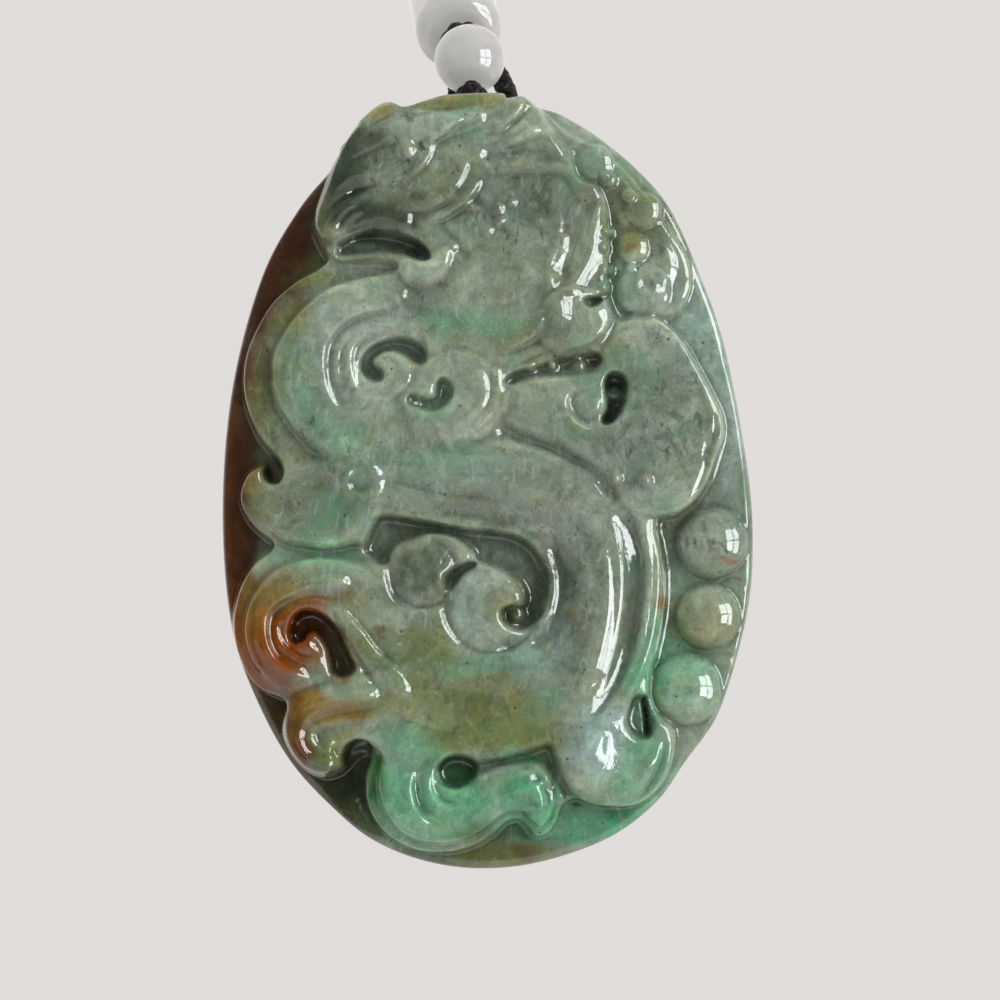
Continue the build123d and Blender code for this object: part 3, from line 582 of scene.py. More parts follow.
# Small beads standing in the pits and on the forms: name, place, radius and rise
BEADS = [
    ("chain 1", .606, .236, .0060, .10),
    ("chain 2", .603, .252, .0055, .09),
    ("chain 3", .606, .273, .0065, .09),
    ("chain 4", .604, .290, .0055, .08),
    ("crest 1", .606, .184, .0090, .08),
    ("crest 2", .626, .200, .0080, .09),
    ("crest 3", .620, .222, .0070, .05),
    ("crest 4", .628, .270, .0060, .05),
    ("slot 1", .551, .368, .0055, .08),
    ("slot 2", .577, .367, .0080, .10),
    ("slot 3", .530, .370, .0050, .06),
    ("comma", .417, .401, .0060, .06),
    ("wing pit", .613, .394, .0090, .10),
    ("wing 1", .612, .478, .0070, .11),
    ("wing 2", .641, .480, .0070, .11),
    ("eye", .407, .155, .0100, .08),
    ("deep curve", .516, .612, .0090, .10),
    ("neck 1", .511, .207, .0045, .05),
    ("neck 2", .499, .212, .0050, .05),
    ("neck 3", .499, .227, .0045, .05),
    ("neck 4", .488, .235, .0050, .05),
    ("neck 5", .470, .211, .0045, .05),
    ("throat", .454, .250, .0055, .06),
    ("mouth corner", .335, .255, .0060, .07),
    ("lobe", .353, .476, .0050, .05),
    ("foot hook", .541, .776, .0050, .05),
    ("coin", .643, .287, .0125, .060),
    ("coin, middle", .643, .287, .0075, -.060),
]

# Colours of the stone, in sRGB. PIT_SHADE is the painted shade that a pit multiplies the stone's colour by.
STONE = (.490, .535, .460)
SPECK = (.20, .21, .14)
PIT_SHADE = (.58, .63, .58)

# How the relief's painted light and shade go into the stone's colour. Pits, carved lines and wide valleys
# get painted shade. Edges, border lines and wide crowns get painted highlights.
PIT_GLOOM = 0.62            # the share of a pit's painted shade that the stone around it gets
PIT_GLOOM_ROUNDS = 90       # rounds of blurring that spread it
FINE_BEND = (6, 0.00008)    # rounds of blurring that a carved line stands out from, and its full height
BROAD_BEND = (60, 0.00035)
# painted shade in the creases of carved lines and in wide valleys, and painted light on wide crowns
CREASE_SHADE = 0.24
VALLEY_SHADE = 0.22
CROWN_LIGHT = 0.08
# painted highlights on edges and border lines: their share of the convexity, their most, their tint and lift
EDGE_HIGHLIGHT = 0.24
HIGHLIGHT_MOST = 1.2
HIGHLIGHT_TINT = (1.34, 1.30, 1.10)
HIGHLIGHT_LIFT = 0.006

# How a stain falls off from its middle, and the waves that make its border uneven: size, scale, and phase
# across and down
STAIN_MIDDLE = 1.5
STAIN_FALL = 0.9375
STAIN_WAVES = [(0.010, 60, 1.0, 3.0), (0.004, 190, 2.0, 4.0)]
WAVE_TURNS = (0.3, 1.7, 2.9, 4.1, 5.6)
WAVE_FINER = 0.37
WAVE_FAINTER = 0.4
WAVE_SHIFT = 1.3
WAVE_MOST = 3.2

# Veins in the stone, laid over each other: which mask they show in, the noise's scale, detail, roughness and
# distortion, how it is stretched and turned, between which values a vein sets in, its most and its colour
VEINS = [
    ("light", 380, 6, 0.60, 1.0, (1, 1, 1), (0.9, 0.1, 0.4), 0.46, 0.68, 0.50, (.46, .54, .50)),
    ("light", 170, 5, 0.60, 0.8, (1, 1, 1), (0.4, 0.2, 0.9), 0.54, 0.68, 0.40, (.34, .55, .42)),
    ("light", 300, 6, 0.62, 1.4, (1, 1, 1), (1.1, 0.7, 0.1), 0.56, 0.70, 0.45, (.49, .47, .27)),
    ("light", 800, 6, 0.62, 2.0, (1, 1, 0.5), (0.3, 0.8, 0.0), 0.54, 0.70, 0.45, (.64, .70, .65)),
    ("flecked", 420, 7, 0.66, 1.6, (1, 1, 1), (0.0, 0.0, 0.0), 0.54, 0.64, 0.60, (.25, .30, .26)),
    ("flecked", 1200, 4, 0.60, 0.6, (1, 1, 0.5), (0.0, 0.7, 0.0), 0.60, 0.66, 0.80, (.20, .24, .20)),
]

# The stains' colours
STAINS = {
    "grey": (.475, .520, .475),
    "dark grey": (.270, .310, .250),
    "mist and reflection": (.560, .660, .650),
    "pale": (.600, .655, .605),
    "green": (.285, .580, .430),
    "deep green": (.160, .370, .170),
    "olive": (.400, .430, .250),
    "yellow": (.500, .470, .240),
    "amber": (.500, .265, .050),
    "light green": (.470, .650, .530),
    "shadow": (.150, .180, .125),
    "dark amber": (.400, .190, .025),
    "rust": (.460, .310, .075),
    "brown": (.340, .200, .090),
    "dark brown": (.285, .180, .120),
    "dark green": (.230, .250, .150),
}

# Stains: colour, strength, place, and reach across and down. Each lies over the ones before it. The rows of
# 'shadow' paint shade on the head's left, in the crescent and round the deep curve, the rows of 'dark grey'
# round the deep curve (.51 to .58 across, .51 to .64 down) paint shade there too, and the rows of 'mist and
# reflection' on the bulb (near .59, .74) paint the window's bluish reflection.
STAINED = [
    ("dark brown", 1.0, .222, .500, .034, .220),
    ("dark brown", 1.0, .280, .240, .040, .080),
    ("dark green", .90, .310, .780, .050, .060),
    ("dark brown", .90, .262, .720, .034, .050),
    ("dark green", .85, .400, .870, .080, .024),
    ("olive", .70, .510, .856, .050, .014),
    ("brown", .60, .258, .365, .014, .050),
    ("olive", .60, .264, .420, .022, .050),
    ("olive", .55, .320, .272, .040, .014),
    ("dark grey", .60, .350, .180, .024, .050),
    ("olive", .50, .326, .215, .014, .040),
    ("dark grey", .45, .375, .150, .030, .024),
    ("grey", .40, .470, .170, .050, .040),
    ("olive", .40, .440, .195, .040, .022),
    ("yellow", .90, .380, .115, .020, .011),
    ("yellow", .45, .470, .106, .030, .008),
    ("pale", .45, .365, .350, .050, .060),
    ("pale", .40, .470, .400, .040, .040),
    ("pale", .50, .425, .272, .028, .014),
    ("dark grey", .45, .410, .305, .016, .010),
    ("olive", .35, .520, .285, .050, .024),
    ("green", .45, .455, .318, .040, .008),
    ("dark grey", .35, .520, .200, .070, .030),
    ("green", .30, .430, .470, .070, .022),
    ("green", .45, .350, .505, .030, .026),
    ("olive", .40, .258, .500, .014, .030),
    ("green", .30, .320, .550, .040, .010),
    ("pale", .30, .560, .490, .060, .040),
    ("grey", .45, .570, .570, .050, .090),
    ("olive", .75, .470, .690, .070, .040),
    ("yellow", .55, .500, .732, .050, .014),
    ("yellow", .50, .390, .700, .024, .010),
    ("pale", .50, .330, .575, .040, .014),
    ("pale", .35, .500, .600, .030, .030),
    ("yellow", .35, .505, .612, .018, .016),
    ("green", .55, .425, .735, .040, .018),
    ("amber", .95, .258, .625, .024, .044),
    ("amber", .95, .292, .635, .036, .034),
    ("brown", .70, .285, .672, .034, .012),
    ("brown", .55, .290, .700, .014, .016),
    ("olive", .40, .362, .640, .014, .040),
    ("brown", .85, .298, .728, .014, .034),
    ("yellow", .50, .345, .702, .034, .010),
    ("olive", .60, .335, .740, .020, .020),
    ("green", .85, .430, .800, .060, .038),
    ("green", .90, .530, .800, .034, .030),
    ("deep green", .70, .374, .785, .008, .030),
    ("deep green", .60, .470, .826, .040, .010),
    ("green", .90, .600, .822, .060, .020),
    ("deep green", .50, .570, .800, .020, .012),
    ("green", .70, .640, .770, .034, .030),
    ("pale", .75, .590, .750, .026, .040),
    ("olive", .80, .700, .618, .034, .026),
    ("yellow", .50, .704, .622, .022, .020),
    ("green", .60, .660, .665, .040, .028),
    ("pale", .40, .690, .690, .024, .020),
    ("grey", .60, .712, .530, .030, .022),
    ("olive", .40, .706, .566, .020, .010),
    ("grey", .40, .650, .410, .050, .060),
    ("pale", .45, .590, .398, .024, .016),
    ("olive", .50, .632, .225, .022, .020),
    ("yellow", .80, .630, .252, .012, .014),
    ("green", .45, .620, .290, .016, .030),
    ("green", .40, .700, .330, .020, .040),
    ("pale", .50, .664, .280, .014, .030),
    ("pale", .45, .600, .150, .034, .014),
    ("rust", .90, .700, .591, .005, .003),
    ("rust", .90, .657, .600, .005, .009),
    ("brown", .80, .380, .625, .005, .004),
    ("brown", .60, .520, .690, .005, .003),
    ("rust", .90, .625, .256, .006, .004),
    ("rust", .70, .727, .558, .006, .004),
    ("brown", .70, .318, .745, .006, .006),
    ("brown", .55, .420, .590, .006, .004),
    ("dark grey", .75, .350, .190, .018, .030),
    ("dark grey", .80, .382, .222, .040, .012),
    ("dark grey", .55, .400, .203, .030, .010),
    ("pale", .40, .430, .130, .040, .016),
    ("pale", .35, .500, .290, .040, .030),
    ("deep green", .55, .608, .258, .008, .034),
    ("deep green", .60, .376, .790, .008, .040),
    ("deep green", .60, .520, .752, .040, .008),
    ("olive", .60, .500, .736, .050, .010),
    ("dark grey", .35, .425, .575, .026, .030),
    ("green", .50, .520, .655, .050, .014),
    ("grey", .35, .330, .395, .030, .030),
    ("dark green", .80, .345, .812, .040, .030),
    ("brown", .75, .290, .745, .020, .030),
    ("brown", .55, .302, .735, .012, .024),
    ("brown", .80, .345, .650, .016, .026),
    ("amber", .60, .305, .598, .034, .010),
    ("pale", .40, .700, .545, .020, .020),
    ("dark brown", .90, .312, .190, .012, .030),
    ("dark brown", .90, .262, .300, .018, .040),
    ("dark brown", .80, .246, .560, .014, .040),
    ("dark grey", .60, .345, .205, .014, .030),
    ("dark grey", .50, .360, .160, .018, .016),
    ("pale", .45, .655, .330, .040, .016),
    ("pale", .50, .722, .360, .016, .080),
    ("olive", .40, .738, .320, .012, .050),
    ("pale", .40, .570, .130, .040, .014),
    ("grey", .50, .505, .215, .040, .030),
    ("dark grey", .45, .538, .200, .012, .024),
    ("olive", .55, .440, .640, .030, .020),
    ("deep green", .60, .392, .655, .020, .008),
    ("olive", .60, .315, .283, .030, .010),
    ("olive", .55, .300, .345, .012, .030),
    ("green", .55, .470, .660, .040, .010),
    ("deep green", .55, .600, .810, .050, .008),
    ("olive", .75, .500, .850, .040, .016),
    ("brown", .50, .530, .846, .016, .008),
    ("yellow", .40, .560, .360, .030, .006),
    ("rust", .70, .632, .408, .006, .003),
    ("rust", .50, .590, .362, .005, .005),
    ("pale", .45, .350, .330, .040, .020),
    ("pale", .30, .480, .560, .030, .016),
    ("dark grey", .45, .490, .518, .050, .006),
    ("dark grey", .50, .590, .440, .030, .012),
    ("grey", .45, .640, .450, .040, .030),
    ("pale", .55, .704, .310, .020, .050),
    ("pale", .55, .725, .420, .014, .060),
    ("pale", .45, .660, .345, .040, .020),
    ("pale", .50, .650, .500, .030, .016),
    ("dark grey", .50, .372, .212, .040, .016),
    ("dark grey", .45, .350, .180, .016, .024),
    ("olive", .60, .335, .700, .040, .014),
    ("olive", .45, .490, .600, .020, .016),
    ("olive", .50, .395, .640, .040, .016),
    ("yellow", .35, .704, .610, .024, .020),
    ("pale", .45, .680, .688, .024, .020),
    ("deep green", .50, .560, .802, .030, .008),
    ("green", .55, .600, .812, .060, .020),
    ("green", .50, .640, .690, .016, .040),
    ("grey", .50, .560, .600, .020, .050),
    ("dark grey", .40, .562, .590, .014, .050),
    ("dark brown", .90, .270, .262, .030, .024),
    ("dark grey", .50, .345, .185, .020, .030),
    ("dark grey", .50, .378, .224, .045, .012),
    ("dark grey", .25, .505, .215, .050, .040),
    ("dark grey", .28, .330, .500, .050, .030),
    ("olive", .40, .272, .500, .020, .030),
    ("dark grey", .30, .490, .500, .050, .010),
    ("dark grey", .35, .425, .578, .030, .030),
    ("olive", .60, .500, .724, .070, .020),
    ("olive", .35, .440, .670, .040, .030),
    ("grey", .50, .520, .655, .040, .016),
    ("rust", .45, .335, .703, .030, .012),
    ("rust", .40, .300, .690, .014, .010),
    ("rust", .35, .345, .598, .016, .008),
    ("deep green", .55, .378, .790, .010, .034),
    ("light green", .50, .640, .760, .030, .034),
    ("light green", .45, .682, .686, .034, .034),
    ("light green", .35, .420, .740, .040, .014),
    ("pale", .35, .704, .606, .028, .022),
    ("yellow", .30, .450, .106, .050, .008),
    ("dark grey", .22, .650, .372, .050, .040),
    ("olive", .25, .630, .240, .030, .040),
    ("green", .45, .600, .822, .060, .014),
    ("green", .35, .345, .440, .030, .020),
    ("light green", .35, .300, .380, .020, .040),
    ("light green", .35, .440, .470, .080, .014),
    ("dark green", .35, .560, .640, .020, .030),
    ("dark grey", .35, .575, .600, .014, .060),
    ("deep green", .40, .455, .766, .022, .018),
    ("pale", .50, .365, .270, .036, .007),
    ("amber", .90, .276, .626, .038, .042),
    ("amber", .60, .262, .650, .018, .024),
    ("brown", .50, .318, .628, .020, .010),
    ("rust", .50, .330, .700, .034, .012),
    ("rust", .35, .300, .570, .020, .012),
    ("brown", .45, .304, .740, .010, .020),
    ("mist and reflection", .60, .592, .738, .026, .030),
    ("mist and reflection", .40, .700, .330, .020, .050),
    ("mist and reflection", .40, .728, .430, .014, .070),
    ("light green", .50, .620, .778, .034, .020),
    ("mist and reflection", .35, .470, .605, .020, .040),
    ("mist and reflection", .30, .540, .640, .030, .030),
    ("green", .50, .410, .800, .030, .030),
    ("green", .40, .600, .822, .060, .014),
    ("dark brown", .60, .240, .400, .012, .090),
    ("dark grey", .35, .348, .182, .020, .034),
    ("dark grey", .35, .376, .222, .050, .012),
    ("green", .40, .320, .551, .030, .008),
    ("grey", .35, .430, .470, .080, .016),
    ("grey", .35, .340, .505, .040, .024),
    ("olive", .35, .505, .728, .060, .014),
    ("dark grey", .30, .425, .575, .030, .026),
    ("shadow", .45, .342, .186, .018, .036),
    ("shadow", .40, .330, .220, .012, .024),
    ("shadow", .38, .372, .224, .050, .012),
    ("shadow", .30, .366, .150, .018, .018),
    ("shadow", .40, .385, .249, .046, .010),
    ("dark amber", .45, .276, .626, .040, .046),
    ("dark amber", .40, .284, .660, .030, .014),
    ("pale", .45, .632, .290, .022, .030),
    ("grey", .40, .440, .468, .100, .020),
    ("dark grey", .16, .440, .468, .100, .020),
    ("dark grey", .20, .330, .505, .050, .026),
    ("green", .45, .320, .551, .030, .008),
    ("pale", .30, .320, .551, .030, .008),
    ("rust", .40, .328, .704, .030, .012),
    ("brown", .45, .302, .738, .012, .024),
    ("dark brown", .35, .292, .742, .006, .024),
    ("olive", .40, .350, .745, .014, .020),
    ("dark grey", .20, .540, .480, .060, .016),
    ("dark grey", .20, .490, .500, .050, .008),
    ("olive", .30, .505, .728, .060, .014),
    ("grey", .30, .600, .400, .060, .060),
    ("green", .40, .420, .805, .030, .026),
    ("green", .45, .540, .800, .020, .026),
    ("deep green", .45, .470, .829, .040, .008),
    ("green", .45, .650, .650, .014, .040),
    ("dark grey", .25, .658, .560, .006, .050),
    ("mist and reflection", .45, .600, .715, .020, .020),
    ("dark grey", .45, .556, .585, .012, .046),
    ("dark grey", .40, .515, .517, .040, .010),
    ("shadow", .30, .550, .565, .012, .030),
    ("dark grey", .30, .540, .640, .020, .012),
    ("light green", .35, .425, .805, .036, .030),
    ("green", .30, .540, .800, .020, .026),
    ("amber", .30, .280, .655, .028, .016),
    ("rust", .30, .268, .600, .012, .020),
    ("dark brown", .35, .245, .480, .014, .120),
    ("mist and reflection", .45, .600, .742, .020, .024),
    ("pale", .40, .650, .770, .020, .020),
    ("pale", .35, .640, .560, .010, .060),
    ("grey", .30, .430, .470, .080, .020),
    ("olive", .30, .505, .728, .060, .014),
    ("dark grey", .25, .425, .578, .028, .028),
    ("olive", .35, .440, .600, .014, .020),
    ("yellow", .30, .515, .600, .016, .024),
    ("olive", .35, .285, .340, .008, .040),
    ("yellow", .35, .300, .320, .016, .014),
    ("rust", .30, .256, .480, .006, .016),
    ("dark grey", .40, .430, .292, .020, .010),
    ("dark grey", .35, .410, .316, .020, .006),
    ("green", .35, .500, .330, .050, .006),
    ("olive", .45, .520, .345, .030, .012),
    ("olive", .35, .604, .350, .020, .010),
    ("shadow", .28, .350, .190, .022, .018),
    ("shadow", .20, .380, .220, .030, .012),
    ("green", .20, .440, .465, .050, .014),
    ("dark grey", .25, .450, .510, .070, .008),
    ("dark grey", .20, .320, .500, .030, .020),
    ("light green", .25, .320, .551, .030, .008),
    ("olive", .30, .330, .575, .035, .012),
    ("olive", .50, .290, .589, .034, .010),
    ("yellow", .40, .254, .598, .010, .018),
    ("olive", .25, .500, .690, .050, .018),
    ("olive", .35, .500, .735, .050, .012),
    ("olive", .25, .430, .640, .030, .018),
    ("green", .20, .560, .430, .025, .018),
    ("pale", .35, .725, .400, .010, .050),
    ("pale", .30, .704, .300, .012, .040),
    ("amber", .25, .262, .625, .014, .018),
    ("brown", .35, .300, .725, .018, .010),
    ("olive", .35, .275, .735, .014, .024),
    ("olive", .30, .335, .705, .024, .012),
    ("light green", .20, .430, .810, .030, .018),
    ("light green", .15, .675, .690, .018, .018),
    ("deep green", .20, .378, .790, .012, .020),
    ("green", .35, .520, .750, .030, .008),
    ("dark grey", .35, .533, .600, .008, .020),
    ("brown", .35, .235, .500, .016, .100),
    ("brown", .45, .273, .468, .012, .012),
    ("olive", .30, .350, .815, .030, .014),
    ("yellow", .35, .262, .608, .012, .026),
    ("rust", .35, .257, .642, .010, .026),
    ("olive", .30, .284, .600, .028, .008),
    ("olive", .35, .300, .724, .016, .012),
    ("dark green", .30, .275, .748, .012, .018),
    ("deep green", .40, .459, .765, .012, .010),
    ("light green", .30, .320, .551, .036, .006),
    ("grey", .50, .592, .162, .022, .016),
    ("olive", .35, .622, .205, .022, .020),
    ("dark grey", .30, .610, .190, .016, .014),
    ("shadow", .35, .533, .598, .009, .028),
    ("mist and reflection", .60, .590, .738, .014, .014),
    ("olive", .35, .460, .107, .040, .006),
    ("light green", .40, .440, .400, .014, .012),
    ("shadow", .30, .350, .190, .018, .016),
    ("olive", .20, .365, .650, .020, .020),
    ("olive", .25, .330, .576, .030, .010),
    ("olive", .30, .500, .705, .050, .022),
    ("amber", .40, .262, .622, .014, .028),
    ("brown", .40, .300, .724, .014, .010),
    ("brown", .25, .288, .728, .022, .028),
    ("yellow", .35, .460, .107, .045, .006),
    ("light green", .30, .430, .812, .030, .014),
    ("pale", .30, .320, .551, .036, .006),
    ("pale", .35, .440, .400, .014, .012),
    ("dark grey", .10, .440, .465, .050, .014),
    ("dark grey", .10, .560, .430, .025, .018),
    ("dark grey", .12, .320, .500, .030, .018),
]

# Where the stone is flecked with dark grey: strength, place and reach
FLECKED = [
    (1.0, .400, .160, .080, .050),
    (.9, .520, .220, .070, .060),
    (1.0, .650, .410, .070, .090),
    (.8, .560, .560, .070, .090),
    (.7, .330, .420, .070, .070),
    (.8, .420, .310, .030, .030),
    (.8, .710, .540, .040, .040),
    (.6, .420, .580, .040, .040),
    (.6, .480, .690, .090, .050),
]


# Plain helpers

def linear(colour):
    """An sRGB colour as linear RGBA."""
    return tuple(c / 12.92 if c <= 0.04045 else ((c + 0.055) / 1.055) ** 2.4 for c in colour) + (1.0,)


def smooth(t):
    """A soft rise from 0 at t = 0 to 1 at t = 1, level at both ends."""
    t = np.clip(t, 0, 1)
    return t * t * (3 - 2 * t)


def bulge(t):
    """A quarter circle's rise, from 0 at t = 0 to 1 at t = 1."""
    return np.sqrt(1 - (1 - np.clip(t, 0, 1)) ** 2)


def spot(u, v, across, down, wide, high):
    """A soft oval, 1 at its place and fading over its reach."""
    return np.exp(-((u - across) / wide) ** 2 - ((v - down) / high) ** 2)


def curve_through(rows, closed, steps=OPEN_STEPS):
    """A smooth curve through the rows' places, with any further columns carried along."""
    p = np.array(rows, float)
    count = len(p) if closed else len(p) - 1
    out = []
    for i in range(count):
        if closed:
            a, b, c, d = p[i - 1], p[i], p[(i + 1) % len(p)], p[(i + 2) % len(p)]
        else:
            b, c = p[i], p[i + 1]
            a = p[i - 1] if i else 2 * b - c
            d = p[i + 2] if i + 2 < len(p) else 2 * c - b
        for k in range(steps):
            t = k / steps
            out.append(b + 0.5 * t * (c - a + t * (2 * a - 5 * b + 4 * c - d + t * (3 * (b - c) + d - a))))
    if not closed:
        out.append(p[-1])
    return np.array(out)


def nearest(u, v, path, closed):
    """Distance to the path, which side of it (1 left of its way, -1 right), its width and the share of
    its way there."""
    ends = np.roll(path, -1, axis=0) if closed else path[1:]
    best = np.full(u.shape, np.inf)
    side = np.ones(u.shape)
    width = np.ones(u.shape)
    share = np.zeros(u.shape)
    for i, (a, b) in enumerate(zip(path, ends)):
        du, dv = b[0] - a[0], b[1] - a[1]
        t = np.clip(((u - a[0]) * du + (v - a[1]) * dv) / max(du * du + dv * dv, TINY), 0, 1)
        gap = np.hypot(u - a[0] - t * du, v - a[1] - t * dv)
        near = gap < best
        best = np.where(near, gap, best)
        side = np.where(near, np.sign((u - a[0]) * dv - (v - a[1]) * du), side)
        share = np.where(near, (i + t) / len(ends), share)
        if len(a) > 2:
            width = np.where(near, a[2] + t * (b[2] - a[2]), width)
    return best, side, width, share


def depth_inside(u, v, loop):
    """Distance to the closed loop, positive inside it, and the loop's width there."""
    gap, _, width, _ = nearest(u, v, loop, True)
    inside = np.zeros(u.shape, bool)
    for a, b in zip(loop, np.roll(loop, -1, axis=0)):
        crosses = (a[1] > v) != (b[1] > v)
        rise = (b[1] - a[1]) or TINY
        inside ^= crosses & (u < a[0] + (v - a[1]) * (b[0] - a[0]) / rise)
    return np.where(inside, gap, -gap), width


def near_path(u, v, path, reach):
    """The flat indices of the places within reach of the path's bounding box."""
    low, high = path[:, :2].min(0) - reach, path[:, :2].max(0) + reach
    return np.nonzero((u > low[0]) & (u < high[0]) & (v > low[1]) & (v < high[1]))[0]


def near_line(u, v, rows, reach):
    """The places near a line's rows, by their flat indices, and what nearest gives for them."""
    path = curve_through(rows, False)
    at = near_path(u, v, path, reach)
    return at, *nearest(u[at], v[at], path, False)


def near_outline(u, v, outline, edge):
    """The places near a closed outline, by their flat indices, their depth inside it, and the width of its
    slope there."""
    loop = curve_through([(*row, edge)[:3] for row in outline], True, FORM_STEPS)
    loop[:, 2] = np.clip(loop[:, 2], edge, None)
    at = near_path(u, v, loop, loop[:, 2].max())
    return at, *depth_inside(u[at], v[at], loop)


# The carving's relief

def lay_forms(u, v, h, line):
    """Lay the raised forms, straps, domes and swells over each other."""
    for _, border, crown, reach, outline in FORMS:
        at, depth, slope = near_outline(u, v, outline, FORM_EDGE)
        hard = FORM_EDGE / slope
        form = crown - (crown - border) * (1 - bulge(depth / reach)) * hard
        inside = smooth(depth / slope + 0.5)
        h[at] += (form - h[at]) * inside
        # the painted highlight line just inside each form's border
        line[at] *= 1 - inside
        line[at] += hard ** 2 * np.exp(-((depth - HIGHLIGHT_LINE_INSIDE) / HIGHLIGHT_LINE_WIDTH) ** 2)
    for _, crown, rows in RIDGES:
        at, gap, _, width, _ = near_line(u, v, rows, RIDGE_REACH)
        h[at] += np.clip(crown - h[at], 0, None) * bulge(1 - gap / width)
    for _, across, down, radius, border, top in DOMES:
        away = np.hypot(u - across, v - down)
        form = border + (top - border) * bulge(1 - away / radius)
        h += (form - h) * smooth((radius - away) / FORM_EDGE + 0.5)
    for _, across, down, wide, high, rise in SWELLS:
        h += rise * spot(u, v, across, down, wide, high)
    for _, rise, rows in TUBES:
        at, gap, _, width, _ = near_line(u, v, rows, TUBE_REACH)
        h[at] += rise * smooth(1 - gap / width)


def carve_lines(u, v, h):
    """Carve the steps and grooves. Both run out softly at their ends."""
    for _, rise, reach, rows in STEPS:
        at, gap, side, _, share = near_line(u, v, rows, 3 * reach)
        fade = np.sin(math.pi * share) ** STEP_FADE * np.exp(-(gap / reach) ** 2)
        h[at] += rise * fade * side * np.tanh(gap / STEP_EDGE)
    for _, deep, rows in GROOVES:
        at, gap, _, width, share = near_line(u, v, rows, GROOVE_REACH)
        h[at] -= deep * np.sin(math.pi * share) ** GROOVE_FADE * smooth(1 - gap / width)


def sink_pits(u, v, h, pit, line):
    """Sink the pits to their floors, deepest at their middles, and give the places inside them their painted
    shade.
    """
    for _, floor_height, shade, outline in PITS:
        at, depth, slope = near_outline(u, v, outline, PIT_EDGE)
        bottom = floor_height + PIT_BOWL * (1 - bulge(depth / PIT_REACH))
        inside = smooth(depth / slope + 0.5)
        h[at] += np.clip(bottom - h[at], None, 0) * inside
        # the share of painted shade that the pit gives each place
        pit[at] = np.maximum(pit[at], shade * inside)
        line[at] *= 1 - inside


def relief(u, v):
    """Height above the plate, as a share of RELIEF, how much painted shade each place gets as part of a pit,
    and the strength there of the painted highlight line at the forms' borders."""
    h, pit, line = np.zeros(u.shape), np.zeros(u.shape), np.zeros(u.shape)
    lay_forms(u, v, h, line)
    carve_lines(u, v, h)
    sink_pits(u, v, h, pit, line)
    for _, across, down, radius, rise in BEADS:
        h += rise * bulge(1 - np.hypot(u - across, v - down) / radius)
    return h, pit, line


def waves(u, v, scale, phase):
    """A soft pattern from a few sines, between -1 and 1."""
    total = 0
    for k, turn in enumerate(WAVE_TURNS):
        way = scale * (1 + WAVE_FINER * k)
        sine = np.sin(way * (u * math.cos(turn) + v * math.sin(turn)) + phase * (k + WAVE_SHIFT))
        total = total + sine / (1 + WAVE_FAINTER * k)
    return total / WAVE_MOST


def stain(u, v, pit, line, bend, broad):
    """The stone's colour at each place, from the stains, the painted shade in and round the pits and in
    creases and valleys, and the painted highlights on edges, border lines and crowns, and how flecked it is."""
    stained_u, stained_v = u, v
    for size, scale, phase_u, phase_v in STAIN_WAVES:
        stained_u = stained_u + size * waves(u, v, scale, phase_u)
        stained_v = stained_v + size * waves(u, v, scale, phase_v)
    colour = np.tile(np.array(linear(STONE)[:3]), (len(u), 1))
    for name, strength, across, down, wide, high in STAINED:
        away = np.hypot((stained_u - across) / wide, (stained_v - down) / high)
        share = strength * smooth(STAIN_MIDDLE - STAIN_FALL * away)
        colour += (np.array(linear(STAINS[name])[:3]) - colour) * share[:, None]
    # painted shade in the pits and round them
    colour *= 1 - pit[:, None] * (1 - np.array(PIT_SHADE))
    # painted highlights on convex edges and along the forms' borders
    edge = np.clip(EDGE_HIGHLIGHT * np.clip(bend, 0, 1) + line, 0, HIGHLIGHT_MOST)[:, None]
    colour += (colour * np.array(HIGHLIGHT_TINT) + HIGHLIGHT_LIFT - colour) * edge
    # painted shade in creases and wide valleys, and painted light on wide crowns
    colour *= 1 - CREASE_SHADE * np.clip(-bend, 0, 1)[:, None]
    colour *= 1 - VALLEY_SHADE * np.clip(-broad, 0, 1)[:, None] + CROWN_LIGHT * np.clip(broad, 0, 1)[:, None]
    flecks = np.zeros(len(u))
    for strength, *oval in FLECKED:
        flecks = np.maximum(flecks, strength * spot(u, v, *oval))
    return np.clip(colour, 0, 1), flecks


class Drawing:
    """The drawing's place on the carving's box."""

    def __init__(self, low, high):
        loop = curve_through(OUTLINE, True, RIM_STEPS)
        first, last = loop.min(0), loop.max(0)
        self.middle = (first + last) / 2
        self.unit_x = (high.x - low.x) / (last[0] - first[0])
        self.unit_z = (high.z - low.z) / (last[1] - first[1])
        self.x, self.z = (low.x + high.x) / 2, (low.z + high.z) / 2
        self.y = high.y
        way = loop - self.middle
        turn = np.arctan2(-way[:, 1], way[:, 0]) % math.tau
        order = np.argsort(turn)
        self.turns, self.reaches = turn[order], np.hypot(*way[order].T)

    def rim(self, angle):
        """Drawn distance from the middle to the outline, at each angle."""
        return np.interp(angle % math.tau, self.turns, self.reaches, period=math.tau)

    def place(self, u, v):
        """The x and z of places on the drawing."""
        return (u - self.middle[0]) * self.unit_x + self.x, (self.middle[1] - v) * self.unit_z + self.z


def turn_faces_out(mesh):
    """Make every face of the closed mesh look out of it."""
    shape = bmesh.new()
    shape.from_mesh(mesh)
    bmesh.ops.recalc_face_normals(shape, faces=shape.faces)
    shape.to_mesh(mesh)
    shape.free()


def new_mesh(name, points, faces, material):
    """A smooth piece from its points and faces."""
    mesh = bpy.data.meshes.new(name)
    mesh.from_pydata([tuple(p) for p in points], [], faces)
    mesh.validate()
    mesh.materials.append(material)
    piece = bpy.data.objects.new(name, mesh)
    bpy.context.collection.objects.link(piece)
    for polygon in mesh.polygons:
        polygon.use_smooth = True
    return piece


